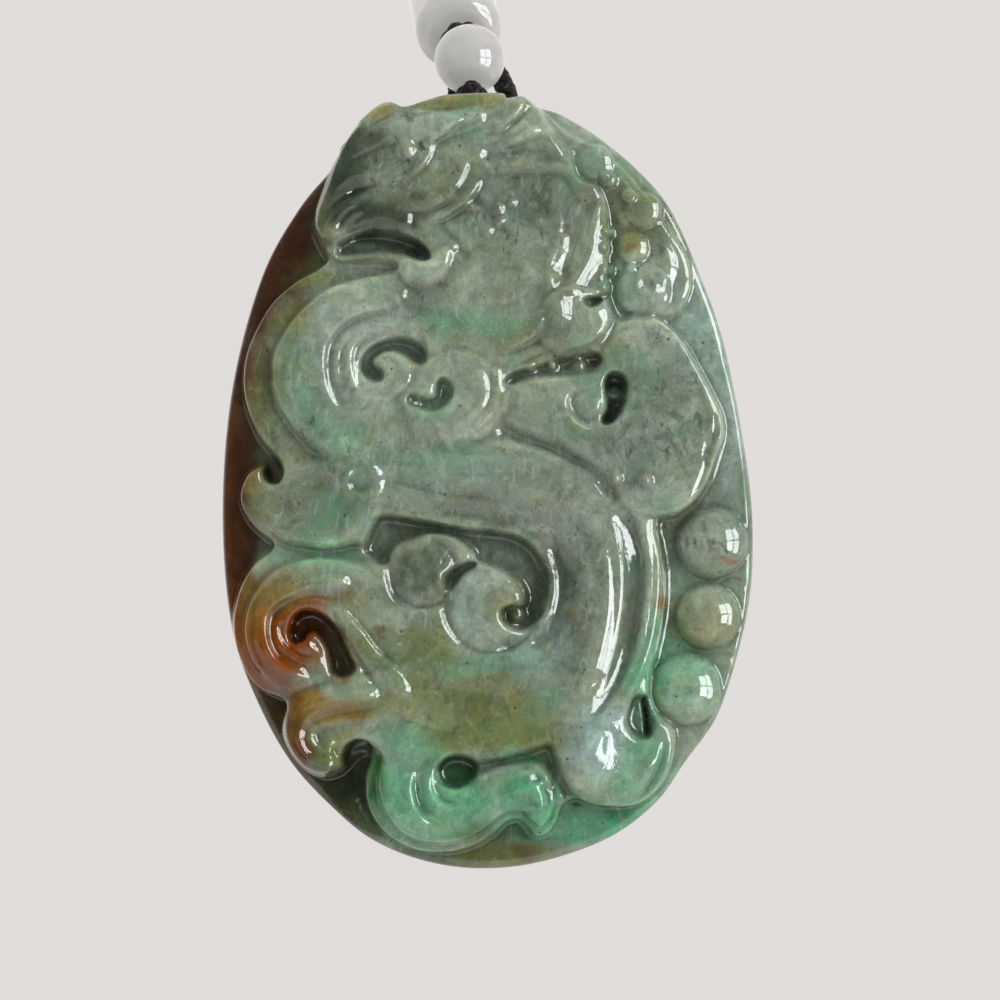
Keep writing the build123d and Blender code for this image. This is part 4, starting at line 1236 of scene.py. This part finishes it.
def carving_grid(drawing):
    """The drawn places of the front face's mesh, from the middle out to the outline, and how far each lies
    inside it."""
    def lines(count):
        t = np.linspace(-1, 1, count + 1)
        return (1 - RIM_DENSER) * t + RIM_DENSER * np.sin(t * math.pi / 2)
    a, b = np.meshgrid(lines(CELLS_WIDE), lines(CELLS_HIGH), indexing="ij")
    across = a * np.sqrt(1 - b * b / 2)
    up = b * np.sqrt(1 - a * a / 2)
    half_wide = (drawing.reaches * np.abs(np.cos(drawing.turns))).max()
    half_high = (drawing.reaches * np.abs(np.sin(drawing.turns))).max()
    angle = np.arctan2(up * half_high, across * half_wide)
    rim = drawing.rim(angle)
    reach = rim * np.hypot(across, up)
    return drawing.middle[0] + reach * np.cos(angle), drawing.middle[1] - reach * np.sin(angle), rim - reach


def blurred(field, rounds):
    """The field with each value drawn halfway to its four neighbours' mean, some rounds over."""
    for _ in range(rounds):
        padded = np.pad(field, 1, mode="edge")
        field = (4 * field + padded[2:, 1:-1] + padded[:-2, 1:-1] + padded[1:-1, 2:] + padded[1:-1, :-2]) / 8
    return field


def bend_of(height, rounds, full):
    """How convex the surface is at each mesh point, about 1 at an edge and -1 in a corner."""
    fine = blurred(height, 1)
    return np.clip((fine - blurred(fine, rounds)) / full, -1, 1).ravel()


def front_height(h, inset):
    """Height of the front above the back, with its border rounded, at places this far inside the outline."""
    edge = np.clip(1 - inset / FRONT_ROUND, 0, 1)
    height = PLATE + RELIEF * h - FRONT_ROUND * (1 - np.sqrt(1 - edge ** 2))
    height[1:-1, 1:-1] = blurred(height, 1)[1:-1, 1:-1]
    return height


def back_rings(drawing, rim_points):
    """Rings of points from below the front's rim round the back's border."""
    half_width = np.ptp(rim_points[:, 0]) / 2
    rings = []
    for k in range(BACK_RINGS + 1):
        turn = math.pi / 2 * k / BACK_RINGS
        share = 1 - BACK_ROUND * (1 - math.cos(turn)) / half_width
        ring = rim_points.copy()
        ring[:, 0] = drawing.x + (ring[:, 0] - drawing.x) * share
        ring[:, 1] = drawing.y - BACK_ROUND * (1 - math.sin(turn))
        ring[:, 2] = drawing.z + (ring[:, 2] - drawing.z) * share
        rings.append(ring)
    return rings


def carving_body(drawing, material):
    """The carving before it is cut, with its points and their colours."""
    u, v, inset = carving_grid(drawing)
    h, pit, line = relief(u.ravel(), v.ravel())
    height = front_height(h.reshape(u.shape), inset * drawing.unit_x)
    # the pits' painted shade, spread out over the stone around them
    around = blurred(pit.reshape(u.shape), PIT_GLOOM_ROUNDS).ravel()
    colour, flecks = stain(u.ravel(), v.ravel(), np.maximum(pit, PIT_GLOOM * around), line,
                           bend_of(height, *FINE_BEND), bend_of(height, *BROAD_BEND))
    x, z = drawing.place(u, v)
    points = np.stack([x, drawing.y - height, z], axis=-1).reshape(-1, 3)
    number = np.arange(len(points)).reshape(u.shape)
    faces = []
    for i in range(CELLS_WIDE):
        for j in range(CELLS_HIGH):
            faces.append((number[i, j], number[i + 1, j], number[i + 1, j + 1], number[i, j + 1]))
    rim = list(number[:-1, 0]) + list(number[-1, :-1]) + list(number[:0:-1, -1]) + list(number[0, :0:-1])
    rings = back_rings(drawing, points[rim])
    outer = rim
    for k in range(len(rings)):
        start = len(points) + k * len(rim)
        ring = list(range(start, start + len(rim)))
        for i in range(len(rim)):
            j = (i + 1) % len(rim)
            faces.append((outer[j], outer[i], ring[i], ring[j]))
        outer = ring
    faces.append(tuple(outer))
    points = np.concatenate([points] + rings)
    colour = np.concatenate([colour] + [colour[rim]] * len(rings))
    flecks = np.concatenate([flecks] + [flecks[rim]] * len(rings))
    piece = new_mesh("jade_relief", points, faces, material)
    # the stone's colour with its painted shade and highlights, for the jade material
    tint_and_painted_light = piece.data.attributes.new("tint_and_painted_light", "FLOAT_COLOR", "POINT")
    tint_and_painted_light.data.foreach_set("color", np.hstack([colour, np.ones((len(colour), 1))]).astype(np.float32).ravel())
    fleck = piece.data.attributes.new("fleck", "FLOAT", "POINT")
    fleck.data.foreach_set("value", flecks.astype(np.float32))
    return piece, points, colour


def prism(name, outline, x_low, x_high):
    """A prism along X over an outline of places back and up, used only to cut with."""
    count = len(outline)
    points = [(x, y, z) for x in (x_low, x_high) for y, z in outline]
    faces = [tuple(range(count)), tuple(range(2 * count - 1, count - 1, -1))]
    faces += [(i, i + count, (i + 1) % count + count, (i + 1) % count) for i in range(count)]
    mesh = bpy.data.meshes.new(name)
    mesh.from_pydata(points, [], faces)
    turn_faces_out(mesh)
    piece = bpy.data.objects.new(name, mesh)
    bpy.context.collection.objects.link(piece)
    return piece


def cut(piece, cutter):
    """Take the cutter's room out of the piece, and then the cutter away."""
    modifier = piece.modifiers.new("cut", "BOOLEAN")
    modifier.operation = "DIFFERENCE"
    modifier.solver = "EXACT"
    modifier.object = cutter
    bpy.context.view_layer.update()
    graph = bpy.context.evaluated_depsgraph_get()
    mesh = bpy.data.meshes.new_from_object(piece.evaluated_get(graph))
    piece.modifiers.clear()
    old = piece.data
    piece.data = mesh
    bpy.data.meshes.remove(old)
    bpy.data.objects.remove(cutter, do_unlink=True)


def arc(y, z, radius, first, last, count):
    """Places back and up on an arc, from one angle to another in degrees."""
    turns = [math.radians(first + (last - first) * k / count) for k in range(count + 1)]
    return [(y + radius * math.cos(t), z + radius * math.sin(t)) for t in turns]


def finish_cuts(piece, places, colour, back):
    """Give the points that the cuts made the nearest colour of the stone, and keep the back face flat."""
    tree = KDTree(len(places))
    for number, place in enumerate(places):
        tree.insert(place, number)
    tree.balance()
    tint_and_painted_light = piece.data.attributes["tint_and_painted_light"].data
    for vertex in piece.data.vertices:
        number, away = tree.find(vertex.co)[1:]
        if away > SAME_POINT:
            tint_and_painted_light[vertex.index].color = (*colour[number], 1)
    for polygon in piece.data.polygons:
        if polygon.normal.y > FACES_BACK and polygon.center.y > back - SAME_POINT:
            polygon.use_smooth = False


def carving(drawing, top_z, material):
    """The carving with its relief, its two pockets, the bridge between them and the cord tunnel."""
    piece, places, colour = carving_body(drawing, material)
    y, z = drawing.y - TUNNEL_FROM_BACK, top_z - TUNNEL_FROM_TOP
    back, above = drawing.y + CUT_BEYOND, top_z + CUT_BEYOND
    front = y - POCKET_FRONT
    corner = arc(front + POCKET_ROUND, z - POCKET_BELOW + POCKET_ROUND, POCKET_ROUND, 180, 270, 6)
    outline = [(front, above)] + corner + [(back, z - POCKET_BELOW), (back, above)]
    for side in (-1, 1):
        ends = sorted((TUNNEL_X + side * BRIDGE_HALF_WIDTH, TUNNEL_X + side * POCKET_HALF_WIDTH))
        cut(piece, prism("pocket", outline, *ends))
    over = [place for place in arc(y, z, BRIDGE_RADIUS, 180, 0, 16) if place[0] > front]
    half_width = BRIDGE_HALF_WIDTH + CUT_OVERLAP
    notch = [(back, z), (back, above), (front, above)] + over
    cut(piece, prism("saddle", notch, TUNNEL_X - half_width, TUNNEL_X + half_width))
    bore = arc(y, z, TUNNEL_RADIUS, 0, 330, 11)
    cut(piece, prism("tunnel", bore, TUNNEL_X - TUNNEL_REACH, TUNNEL_X + TUNNEL_REACH))
    finish_cuts(piece, places, colour, drawing.y)
    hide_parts("jade_carving")
    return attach(piece, "pendant")


# Turned, wound and braided bodies

def turned(profile, centre, way, sides, closed):
    """The points and faces of a profile, its rows along and out, run round a way through a centre."""
    turn = np.array(way.to_track_quat("Z", "Y").to_matrix())
    count = len(profile)
    points, faces = [], []
    for i in range(sides):
        a = math.tau * i / sides
        for along, out in profile:
            points.append(np.array(centre) + turn @ np.array([out * math.cos(a), out * math.sin(a), along]))
    for i in range(sides):
        this, following = i * count, (i + 1) % sides * count
        for k in range(count if closed else count - 1):
            after = (k + 1) % count
            faces.append((this + k, this + after, following + after, following + k))
    return np.array(points), faces


def route_line(points, resolution):
    """Points along the route's NURBS spline."""
    curve = bpy.data.curves.new("route", "CURVE")
    curve.dimensions = "3D"
    spline = curve.splines.new("NURBS")
    spline.points.add(len(points) - 1)
    for point, place in zip(spline.points, points):
        point.co = (*place, 1)
    spline.order_u = 3
    spline.use_endpoint_u = True
    spline.resolution_u = resolution
    holder = bpy.data.objects.new("route", curve)
    bpy.context.collection.objects.link(holder)
    bpy.context.view_layer.update()
    mesh = bpy.data.meshes.new_from_object(holder)
    line = np.array([v.co for v in mesh.vertices])
    bpy.data.objects.remove(holder, do_unlink=True)
    bpy.data.meshes.remove(mesh)
    bpy.data.curves.remove(curve)
    return line


def even(line, spacing):
    """The line with its points an even distance apart, and how far along it each is."""
    steps = np.linalg.norm(np.diff(line, axis=0), axis=1)
    way = np.concatenate([[0], np.cumsum(steps)])
    at = np.linspace(0, way[-1], max(int(way[-1] / spacing), 4) + 1)
    return np.stack([np.interp(at, way, line[:, k]) for k in range(3)], axis=1), at


def ways_along(line, closed):
    """The line's direction at each of its points."""
    ways = np.roll(line, -1, axis=0) - np.roll(line, 1, axis=0) if closed else np.gradient(line, axis=0)
    return ways / np.linalg.norm(ways, axis=1, keepdims=True)


def frames(line):
    """Two crossing directions at each point, carried along the line without twisting."""
    ways = ways_along(line, False)
    side = np.cross(ways[0], (0, 0, 1.0))
    if np.linalg.norm(side) < 0.1:
        side = np.cross(ways[0], (1.0, 0, 0))
    sides = []
    for way in ways:
        side = side - way * (side @ way)
        side = side / np.linalg.norm(side)
        sides.append(side)
    sides = np.array(sides)
    return sides, np.cross(ways, sides)


def strand(line, wide, thick, corners, closed=False, outward=None):
    """A flat or round strand's points and faces round a line. outward sets which way its flat side lies."""
    if outward is None:
        first, second = frames(line)
    else:
        ways = ways_along(line, closed)
        second = outward - ways * (outward * ways).sum(1, keepdims=True)
        second /= np.linalg.norm(second, axis=1, keepdims=True)
        first = np.cross(second, ways)
    points, faces = [], []
    for c in range(corners):
        a = math.tau * c / corners
        points.append(line + first * (wide * math.cos(a)) + second * (thick * math.sin(a)))
    points = np.stack(points, axis=1)
    count = len(line)
    for i in range(count if closed else count - 1):
        for c in range(corners):
            j, d = (i + 1) % count, (c + 1) % corners
            faces.append((i * corners + c, i * corners + d, j * corners + d, j * corners + c))
    if not closed:
        faces.append(tuple(range(corners - 1, -1, -1)))
        faces.append(tuple(range((count - 1) * corners, count * corners)))
    return points.reshape(-1, 3), faces


def gathered(name, bodies, material):
    """One piece from many bodies, each given as its points and faces."""
    points, faces, start = [], [], 0
    for some, these in bodies:
        points.append(some)
        faces += [tuple(start + n for n in face) for face in these]
        start += len(some)
    piece = new_mesh(name, np.concatenate(points), faces, material)
    turn_faces_out(piece.data)
    return piece


def braid(name, line, radius, pitch, pairs, material, spacing):
    """A round braid: as many strands turn left as turn right, each over one and under the next."""
    line, at = even(line, spacing)
    first, second = frames(line)
    thick = BRAID_THICK * radius
    wide = BRAID_WIDE * math.pi * radius / pairs
    strands = []
    for way in (-1, 1):
        for k in range(pairs):
            turn = way * math.tau * at / pitch + math.tau * k / pairs
            wave = np.cos(pairs * turn + (0 if way > 0 else math.pi))
            out = radius - BRAID_UNDER * thick + BRAID_LIFT * thick * wave
            outward = first * np.cos(turn)[:, None] + second * np.sin(turn)[:, None]
            strands.append(strand(line + outward * out[:, None], wide, thick, 6, outward=outward))
    core = strand(line, BRAID_CORE * radius, BRAID_CORE * radius, 8)
    return gathered(name, strands + [core], material)


def ball_knot(name, centre, radius, way, material):
    """A ball of cord wound over and under itself, round a plain core."""
    t = np.linspace(0, math.tau, 60 * KNOT_BIGHTS, endpoint=False)
    thick = KNOT_THICK * radius
    lift = np.sin(KNOT_BIGHTS * (KNOT_LEADS - 1) * t + KNOT_PHASE)
    out = radius - KNOT_UNDER * thick + KNOT_LIFT * thick * lift
    high = KNOT_TILT * np.sin(KNOT_BIGHTS * t)
    long = KNOT_LEADS * t
    local = np.stack([np.cos(high) * np.cos(long), np.cos(high) * np.sin(long), np.sin(high)], axis=1)
    outward = local @ np.array(way.to_track_quat("Z", "Y").to_matrix()).T
    line = np.array(centre) + outward * out[:, None]
    winding = strand(line, KNOT_FLAT * thick, thick, 8, closed=True, outward=outward)
    turns = [math.pi * i / 12 for i in range(13)]
    half = KNOT_CORE * radius
    core = turned([(-half * math.cos(a), half * math.sin(a) + 1e-6) for a in turns], centre, way, 24, False)
    return gathered(name, [winding, core], material)


# Beads

def box_middle(node):
    """The middle of a solid's box."""
    low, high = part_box(node)
    return (low + high) / 2


def round_bead(way, material):
    """The round bead, with its bore's edges broken a little."""
    low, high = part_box("round_bead")
    radius = (high.x - low.x) / 2
    first = math.asin((BORE_RADIUS + ROUND_BEAD_EDGE) / radius)
    turns = np.linspace(first, math.pi - first, 49)
    profile = [(-radius * math.cos(t), radius * math.sin(t)) for t in turns]
    end = radius * math.cos(first) - ROUND_BEAD_EDGE
    profile += [(end, BORE_RADIUS), (0, BORE_RADIUS), (-end, BORE_RADIUS)]
    body = turned(profile, box_middle("round_bead"), way, BEAD_SIDES, True)
    piece = gathered("clear_bead", [body], material)
    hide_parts("round_bead")
    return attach(piece, "cord")


def bead_core(start, end, material):
    """The thread through the round bead, from knot to knot."""
    line = np.linspace(np.array(start), np.array(end), 12)
    piece = gathered("bead_core", [strand(line, THREAD_RADIUS, THREAD_RADIUS, 16)], material)
    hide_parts("bead_thread")
    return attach(piece, "cord")


def barrel_bead(material):
    """The barrel bead, with its ends rounded and its bore's edges broken."""
    half = BARREL_LENGTH / 2
    side = BARREL_RADIUS - BARREL_ROUND
    profile = [(-half, BORE_RADIUS + BARREL_EDGE)]
    for along, first in ((-half + BARREL_ROUND, -90), (half - BARREL_ROUND, 0)):
        for k in range(13):
            t = math.radians(first + 90 * k / 12)
            profile.append((along + BARREL_ROUND * math.sin(t), side + BARREL_ROUND * math.cos(t)))
    profile += [(half, BORE_RADIUS + BARREL_EDGE), (half - BARREL_EDGE, BORE_RADIUS), (0, BORE_RADIUS),
                (-half + BARREL_EDGE, BORE_RADIUS)]
    body = turned(profile, box_middle("barrel_bead"), BARREL_WAY, BEAD_SIDES, True)
    piece = gathered("long_bead", [body], material)
    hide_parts("barrel_bead")
    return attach(piece, "cord")


# Cords and knots

def slide_knot(material):
    """The sliding knot: a strand wound tight round a core."""
    middle = box_middle("slide_knot")
    thick = SLIDE_THICK
    turns = int(SLIDE_LENGTH / (2 * thick * SLIDE_TIGHT))
    t = np.linspace(0, math.tau * turns, 28 * turns + 1)
    along = (t / t[-1] - 0.5) * (SLIDE_LENGTH - 2 * thick)
    line = np.stack([
        middle.x + along,
        middle.y + (SLIDE_RADIUS - thick) * np.cos(t),
        middle.z + (SLIDE_RADIUS - thick) * np.sin(t)], axis=1)
    coil = strand(line, thick, thick, 10)
    half = SLIDE_LENGTH / 2 - SLIDE_CORE_SHORT
    core_line = np.linspace((middle.x - half, middle.y, middle.z), (middle.x + half, middle.y, middle.z), 12)
    core = strand(core_line, SLIDE_RADIUS - 1.1 * thick, SLIDE_RADIUS - 1.1 * thick, 20)
    piece = gathered("sliding_wrap", [coil, core], material)
    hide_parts("slide_knot")
    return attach(piece, "cord")


def neck_cord(name, node, side, top_knot, material):
    """One strand of the neck cord, from inside the sliding knot to inside the top knot."""
    points = [(side * (SLIDE_LENGTH / 2 - NECK_IN_SLIDE), SLIDE_RADIUS, 0)]
    for i, (x, y, z) in enumerate(NECK_ROUTE, 1):
        points.append((side * x + top_knot.x * i / len(NECK_ROUTE), y, z))
    rise = (Vector(points[-1]) - top_knot).normalized()
    points.append(tuple(top_knot + rise * NECK_IN_KNOT))
    piece = braid(name, route_line(points, 24), NECK_RADIUS, NECK_PITCH, NECK_PAIRS, material, NECK_SPACING)
    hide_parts(node)
    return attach(piece, "cord")


def hanging_loop(tunnel, spacer, material):
    """The loop through the tunnel, with both its legs up to the spacer knot."""
    legs = []
    for side in (-1, 1):
        low = tunnel + Vector((side * LOOP_HALF_WIDTH, *LOOP_SINKS))
        bend = tunnel + Vector(LOOP_TOPS[side])
        rise = (spacer - bend).normalized()
        legs.append([spacer - rise * LOOP_IN_KNOT, bend, low])
    line = route_line([tuple(p) for p in legs[0] + legs[1][::-1]], 40)
    piece = braid("tunnel_loop", line, LOOP_RADIUS, LOOP_PITCH, LOOP_PAIRS, material, LOOP_SPACING)
    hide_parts("hanging_loop")
    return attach(piece, "cord")


# Materials

class Nodes:
    """A material's nodes, added by kind and joined by name."""

    def __init__(self, name):
        self.material = bpy.data.materials.new(name)
        self.material.use_nodes = True
        self.tree = self.material.node_tree
        self.shader = self.tree.nodes["Principled BSDF"]
        self.place = self.add("ShaderNodeTexCoord").outputs["Object"]

    def add(self, kind, settings=None, **inputs):
        node = self.tree.nodes.new(kind)
        for key, value in (settings or {}).items():
            setattr(node, key, value)
        for key, value in inputs.items():
            numbered = key[0] == "i" and key[1:].isdigit()
            self.give(node.inputs[int(key[1:]) if numbered else key.replace("_", " ")], value)
        return node

    def give(self, socket, value):
        if isinstance(value, bpy.types.NodeSocket):
            self.tree.links.new(value, socket)
        else:
            socket.default_value = value

    def noise(self, scale, detail=4.0, rough=0.5, distort=0.0, where=None):
        node = self.add("ShaderNodeTexNoise", Vector=where or self.place, Scale=scale, Detail=detail,
                        Roughness=rough, Distortion=distort)
        return node.outputs["Fac"]

    def ramp(self, value, low, high, to_low=0.0, to_high=1.0):
        node = self.add("ShaderNodeMapRange", {"clamp": True}, Value=value, From_Min=low, From_Max=high,
                        To_Min=to_low, To_Max=to_high)
        return node.outputs["Result"]

    def times(self, first, second):
        return self.add("ShaderNodeMath", {"operation": "MULTIPLY"}, i0=first, i1=second).outputs[0]

    def mix(self, share, first, second, blend="MIX"):
        settings = {"data_type": "RGBA", "blend_type": blend}
        return self.add("ShaderNodeMix", settings, i0=share, i6=first, i7=second).outputs[2]

    def stretched(self, scale, turn):
        node = self.add("ShaderNodeMapping", Vector=self.place, Scale=scale, Rotation=turn)
        return node.outputs["Vector"]

    def bump(self, height, distance, strength=1.0):
        node = self.add("ShaderNodeBump", Height=height, Distance=distance, Strength=strength)
        self.give(self.shader.inputs["Normal"], node.outputs["Normal"])

    def set(self, **inputs):
        for key, value in inputs.items():
            self.give(self.shader.inputs[key.replace("_", " ")], value)


def jade_material():
    """Polished stone: the carving's tint with its painted shade and highlights, clouded and grained, with
    veins, streaks and specks in it.
    """
    m = Nodes("jade")
    tint_and_painted_light = m.add("ShaderNodeAttribute", {"attribute_name": "tint_and_painted_light"}).outputs["Color"]
    fleck = m.add("ShaderNodeAttribute", {"attribute_name": "fleck"}).outputs["Fac"]
    blue_part = m.add("ShaderNodeSeparateColor", Color=tint_and_painted_light).outputs["Blue"]
    masks = {"light": m.ramp(blue_part, 0.015, 0.12), "flecked": fleck}
    broad = m.ramp(m.noise(210, 5, 0.6, 0.8), 0.3, 0.7, 0.84, 1.16)
    cloud = m.ramp(m.noise(560, 7, 0.60, 1.0), 0.28, 0.72, 0.66, 1.34)
    grain = m.ramp(m.noise(4200, 4, 0.65, 0.4), 0.3, 0.7, 0.82, 1.18)
    flakes = m.noise(2400, 3, 0.6, 0.8, where=m.stretched((1.0, 1.0, 0.6), (0.5, 0.6, 0.2)))
    shade = m.times(m.times(broad, cloud), m.times(grain, m.ramp(flakes, 0.60, 0.68, 1.0, 0.80)))
    grey = m.add("ShaderNodeCombineColor", Red=shade, Green=shade, Blue=shade).outputs[0]
    colour = m.mix(1.0, tint_and_painted_light, grey, "MULTIPLY")
    for mask, scale, detail, rough, distort, stretch, turn, low, high, most, vein in VEINS:
        veins = m.noise(scale, detail, rough, distort, where=m.stretched(stretch, turn))
        share = m.times(m.ramp(veins, low, high, 0.0, most), masks[mask])
        colour = m.mix(share, colour, linear(vein))
    specks = m.add("ShaderNodeTexVoronoi", Vector=m.place, Scale=1300.0).outputs["Distance"]
    sparse = m.ramp(m.noise(600, 2), 0.58, 0.64)
    speck_share = m.times(m.ramp(specks, 0.10, 0.20, 0.75, 0.0), sparse)
    colour = m.mix(speck_share, colour, linear(SPECK))
    m.set(Base_Color=colour, Roughness=0.06, IOR=1.64, Subsurface_Weight=0.20, Subsurface_Scale=0.0006,
          Subsurface_Radius=(0.9, 1.0, 0.8))
    m.bump(m.noise(1000, 3, 0.5), 0.00005, 0.6)
    return m.material


def bead_material():
    """White stone that light goes a little way into, with a painted glow from emission."""
    m = Nodes("white bead")
    cloud = m.ramp(m.noise(420, 5, 0.55, 0.5), 0.35, 0.7)
    colour = m.mix(cloud, linear((.53, .525, .52)), linear((.61, .605, .60)))
    streaks = m.noise(1600, 4, 0.6, 0.5, where=m.stretched((1, 1, 0.25), (0.1, 0.0, 0.0)))
    colour = m.mix(m.ramp(streaks, 0.62, 0.70, 0.0, 0.35), colour, linear((.48, .47, .48)))
    # the white emission is a painted glow, standing in for light scattered through the stone
    m.set(Base_Color=colour, Roughness=0.08, IOR=1.54, Subsurface_Weight=0.9, Subsurface_Scale=0.0030,
          Subsurface_Radius=(1.0, 1.0, 1.0), Emission_Color=linear((.92, .91, .90)), Emission_Strength=0.29)
    m.bump(m.noise(700, 2), 0.00001, 0.4)
    return m.material


def cord_material():
    """Black cord with fine fibres."""
    m = Nodes("black cord")
    fibres = m.noise(9000, 3, 0.6)
    colour = m.mix(m.ramp(fibres, 0.3, 0.7), linear((.036, .024, .028)), linear((.115, .085, .092)))
    m.set(Base_Color=colour, Roughness=0.50, Specular_IOR_Level=0.35)
    m.bump(fibres, 0.00004, 0.7)
    return m.material


def thread_material():
    """Black thread with a slight twist."""
    m = Nodes("black thread")
    twist = m.noise(7000, 2, 0.5, where=m.stretched((1, 0.4, 0.4), (0, 0, 0)))
    colour = m.mix(m.ramp(twist, 0.3, 0.7), linear((.04, .04, .045)), linear((.10, .10, .11)))
    m.set(Base_Color=colour, Roughness=0.5)
    m.bump(twist, 0.00003, 0.5)
    return m.material


def floor_material():
    m = Nodes("pale floor")
    m.set(Base_Color=m.mix(m.noise(3, 3), linear((.90, .89, .88)), linear((.92, .91, .90))), Roughness=0.9)
    return m.material


# The room

def camera():
    data = bpy.data.cameras.new("camera")
    data.lens = LENS
    data.sensor_width = SENSOR
    data.clip_start = CLIP_START
    holder = bpy.data.objects.new("camera", data)
    holder.location = CAMERA
    holder.rotation_euler = (math.pi / 2, 0, 0)
    bpy.context.collection.objects.link(holder)
    bpy.context.scene.camera = holder


def world():
    """A pale room. What the polish mirrors from beside and behind the camera is dark."""
    made = bpy.data.worlds.new("room")
    bpy.context.scene.world = made
    made.use_nodes = True
    tree = made.node_tree
    sky = tree.nodes["Background"]
    place = tree.nodes.new("ShaderNodeTexCoord")
    parts = tree.nodes.new("ShaderNodeSeparateXYZ")
    rays = tree.nodes.new("ShaderNodeLightPath")
    tree.links.new(place.outputs["Generated"], parts.inputs[0])

    def blend(share, first, second):
        mix = tree.nodes.new("ShaderNodeMix")
        mix.data_type = "RGBA"
        tree.links.new(share, mix.inputs[0])
        for socket, value in ((mix.inputs[6], first), (mix.inputs[7], second)):
            if isinstance(value, bpy.types.NodeSocket):
                tree.links.new(value, socket)
            else:
                socket.default_value = (*value, 1)
        return mix.outputs[2]

    def behind(low, high):
        back = tree.nodes.new("ShaderNodeMapRange")
        back.inputs["From Min"].default_value = low
        back.inputs["From Max"].default_value = high
        tree.links.new(parts.outputs["Y"], back.inputs["Value"])
        return back.outputs[0]

    lit = blend(behind(*LIT_FADE), ROOM_DARK, PALE)
    mirrored = blend(behind(*MIRROR_FADE), MIRROR_DARK, PALE)
    shown = blend(rays.outputs["Is Glossy Ray"], lit, mirrored)
    tree.links.new(blend(rays.outputs["Is Camera Ray"], shown, PALE), sky.inputs["Color"])


def area_light(name, azimuth, elevation, distance, wide, high, power, colour, target, across=0.0, up=0.0):
    """A light seen from the target at an azimuth right of the camera, facing the target."""
    a, e = math.radians(azimuth), math.radians(elevation)
    way = Vector((math.sin(a) * math.cos(e), -math.cos(a) * math.cos(e), math.sin(e)))
    right = Vector((math.cos(a), math.sin(a), 0))
    data = bpy.data.lights.new(name, "AREA")
    data.shape = "RECTANGLE"
    data.size, data.size_y = wide, high
    data.energy = power
    data.color = colour
    holder = bpy.data.objects.new(name, data)
    holder.location = target + way * distance + right * across + way.cross(right) * -up
    holder.rotation_euler = (-way).to_track_quat("-Z", "Y").to_euler()
    holder.visible_camera = False
    bpy.context.collection.objects.link(holder)
    return holder


def lights(target):
    """A window of four panes to the right, seen in the polish, and soft light that isn't."""
    for i, (across, up, wide, high) in enumerate(PANES):
        pane = area_light(f"pane {i}", *WINDOW, wide, high, PANE_POWER, PANE_COLOUR, target, across, up)
        pane.visible_diffuse = False
    for name, azimuth, elevation, distance, wide, power in SOFT_LIGHTS:
        fill = area_light(name, azimuth, elevation, distance, wide, wide, power, SOFT_COLOUR, target)
        fill.visible_glossy = False


def floor(low_z):
    turns = [math.tau * i / FLOOR_SIDES for i in range(FLOOR_SIDES)]
    points = [(FLOOR_RADIUS * math.cos(t), FLOOR_RADIUS * math.sin(t), low_z - FLOOR_BELOW) for t in turns]
    piece = new_mesh("floor", points, [tuple(range(FLOOR_SIDES))], floor_material())


def corners(bounds):
    """A box's two corners as plain lists."""
    return [list(bounds[0]), list(bounds[1])]


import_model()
bpy.context.scene.view_settings.view_transform = "Standard"
camera()
world()

jade = jade_material()
bead = bead_material()
cord = cord_material()
thread = thread_material()
for slot in bpy.data.objects["barrel_thread"].material_slots:
    slot.material = thread

low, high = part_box("jade_carving")
top_knot = box_middle("top_knot")
spacer = box_middle("spacer_knot")
lower_knot = box_middle("lower_knot")
tunnel = Vector((TUNNEL_X, high.y - TUNNEL_FROM_BACK, high.z - TUNNEL_FROM_TOP))
lights(Vector((0, tunnel.y, (low.z + high.z) / 2)))
floor(low.z)

neck_cord("left_braid", "neck_cord_left", -1, top_knot, cord)
neck_cord("right_braid", "neck_cord_right", 1, top_knot, cord)
hanging_loop(tunnel, spacer, cord)
slide_knot(cord)
bead_middle = box_middle("round_bead")
bead_way = (bead_middle - lower_knot).normalized()
for name, node, place, grow, way in (
        ("end_knot", "lower_knot", lower_knot + bead_way * END_KNOT_UP, END_KNOT_GROW, bead_way),
        ("middle_knot", "spacer_knot", spacer, 1.0, BARREL_WAY),
        ("upper_knot", "top_knot", top_knot, 1.0, BARREL_WAY)):
    low_corner, high_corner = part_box(node)
    knot = ball_knot(name, place, grow * (high_corner.x - low_corner.x) / 2, way, cord)
    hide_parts(node)
    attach(knot, "cord")
round_bead(bead_way, bead)
bead_core(lower_knot, bead_middle + bead_way * THREAD_PAST_MIDDLE, thread)
barrel_bead(bead)
carving(Drawing(low, high), high.z, jade)
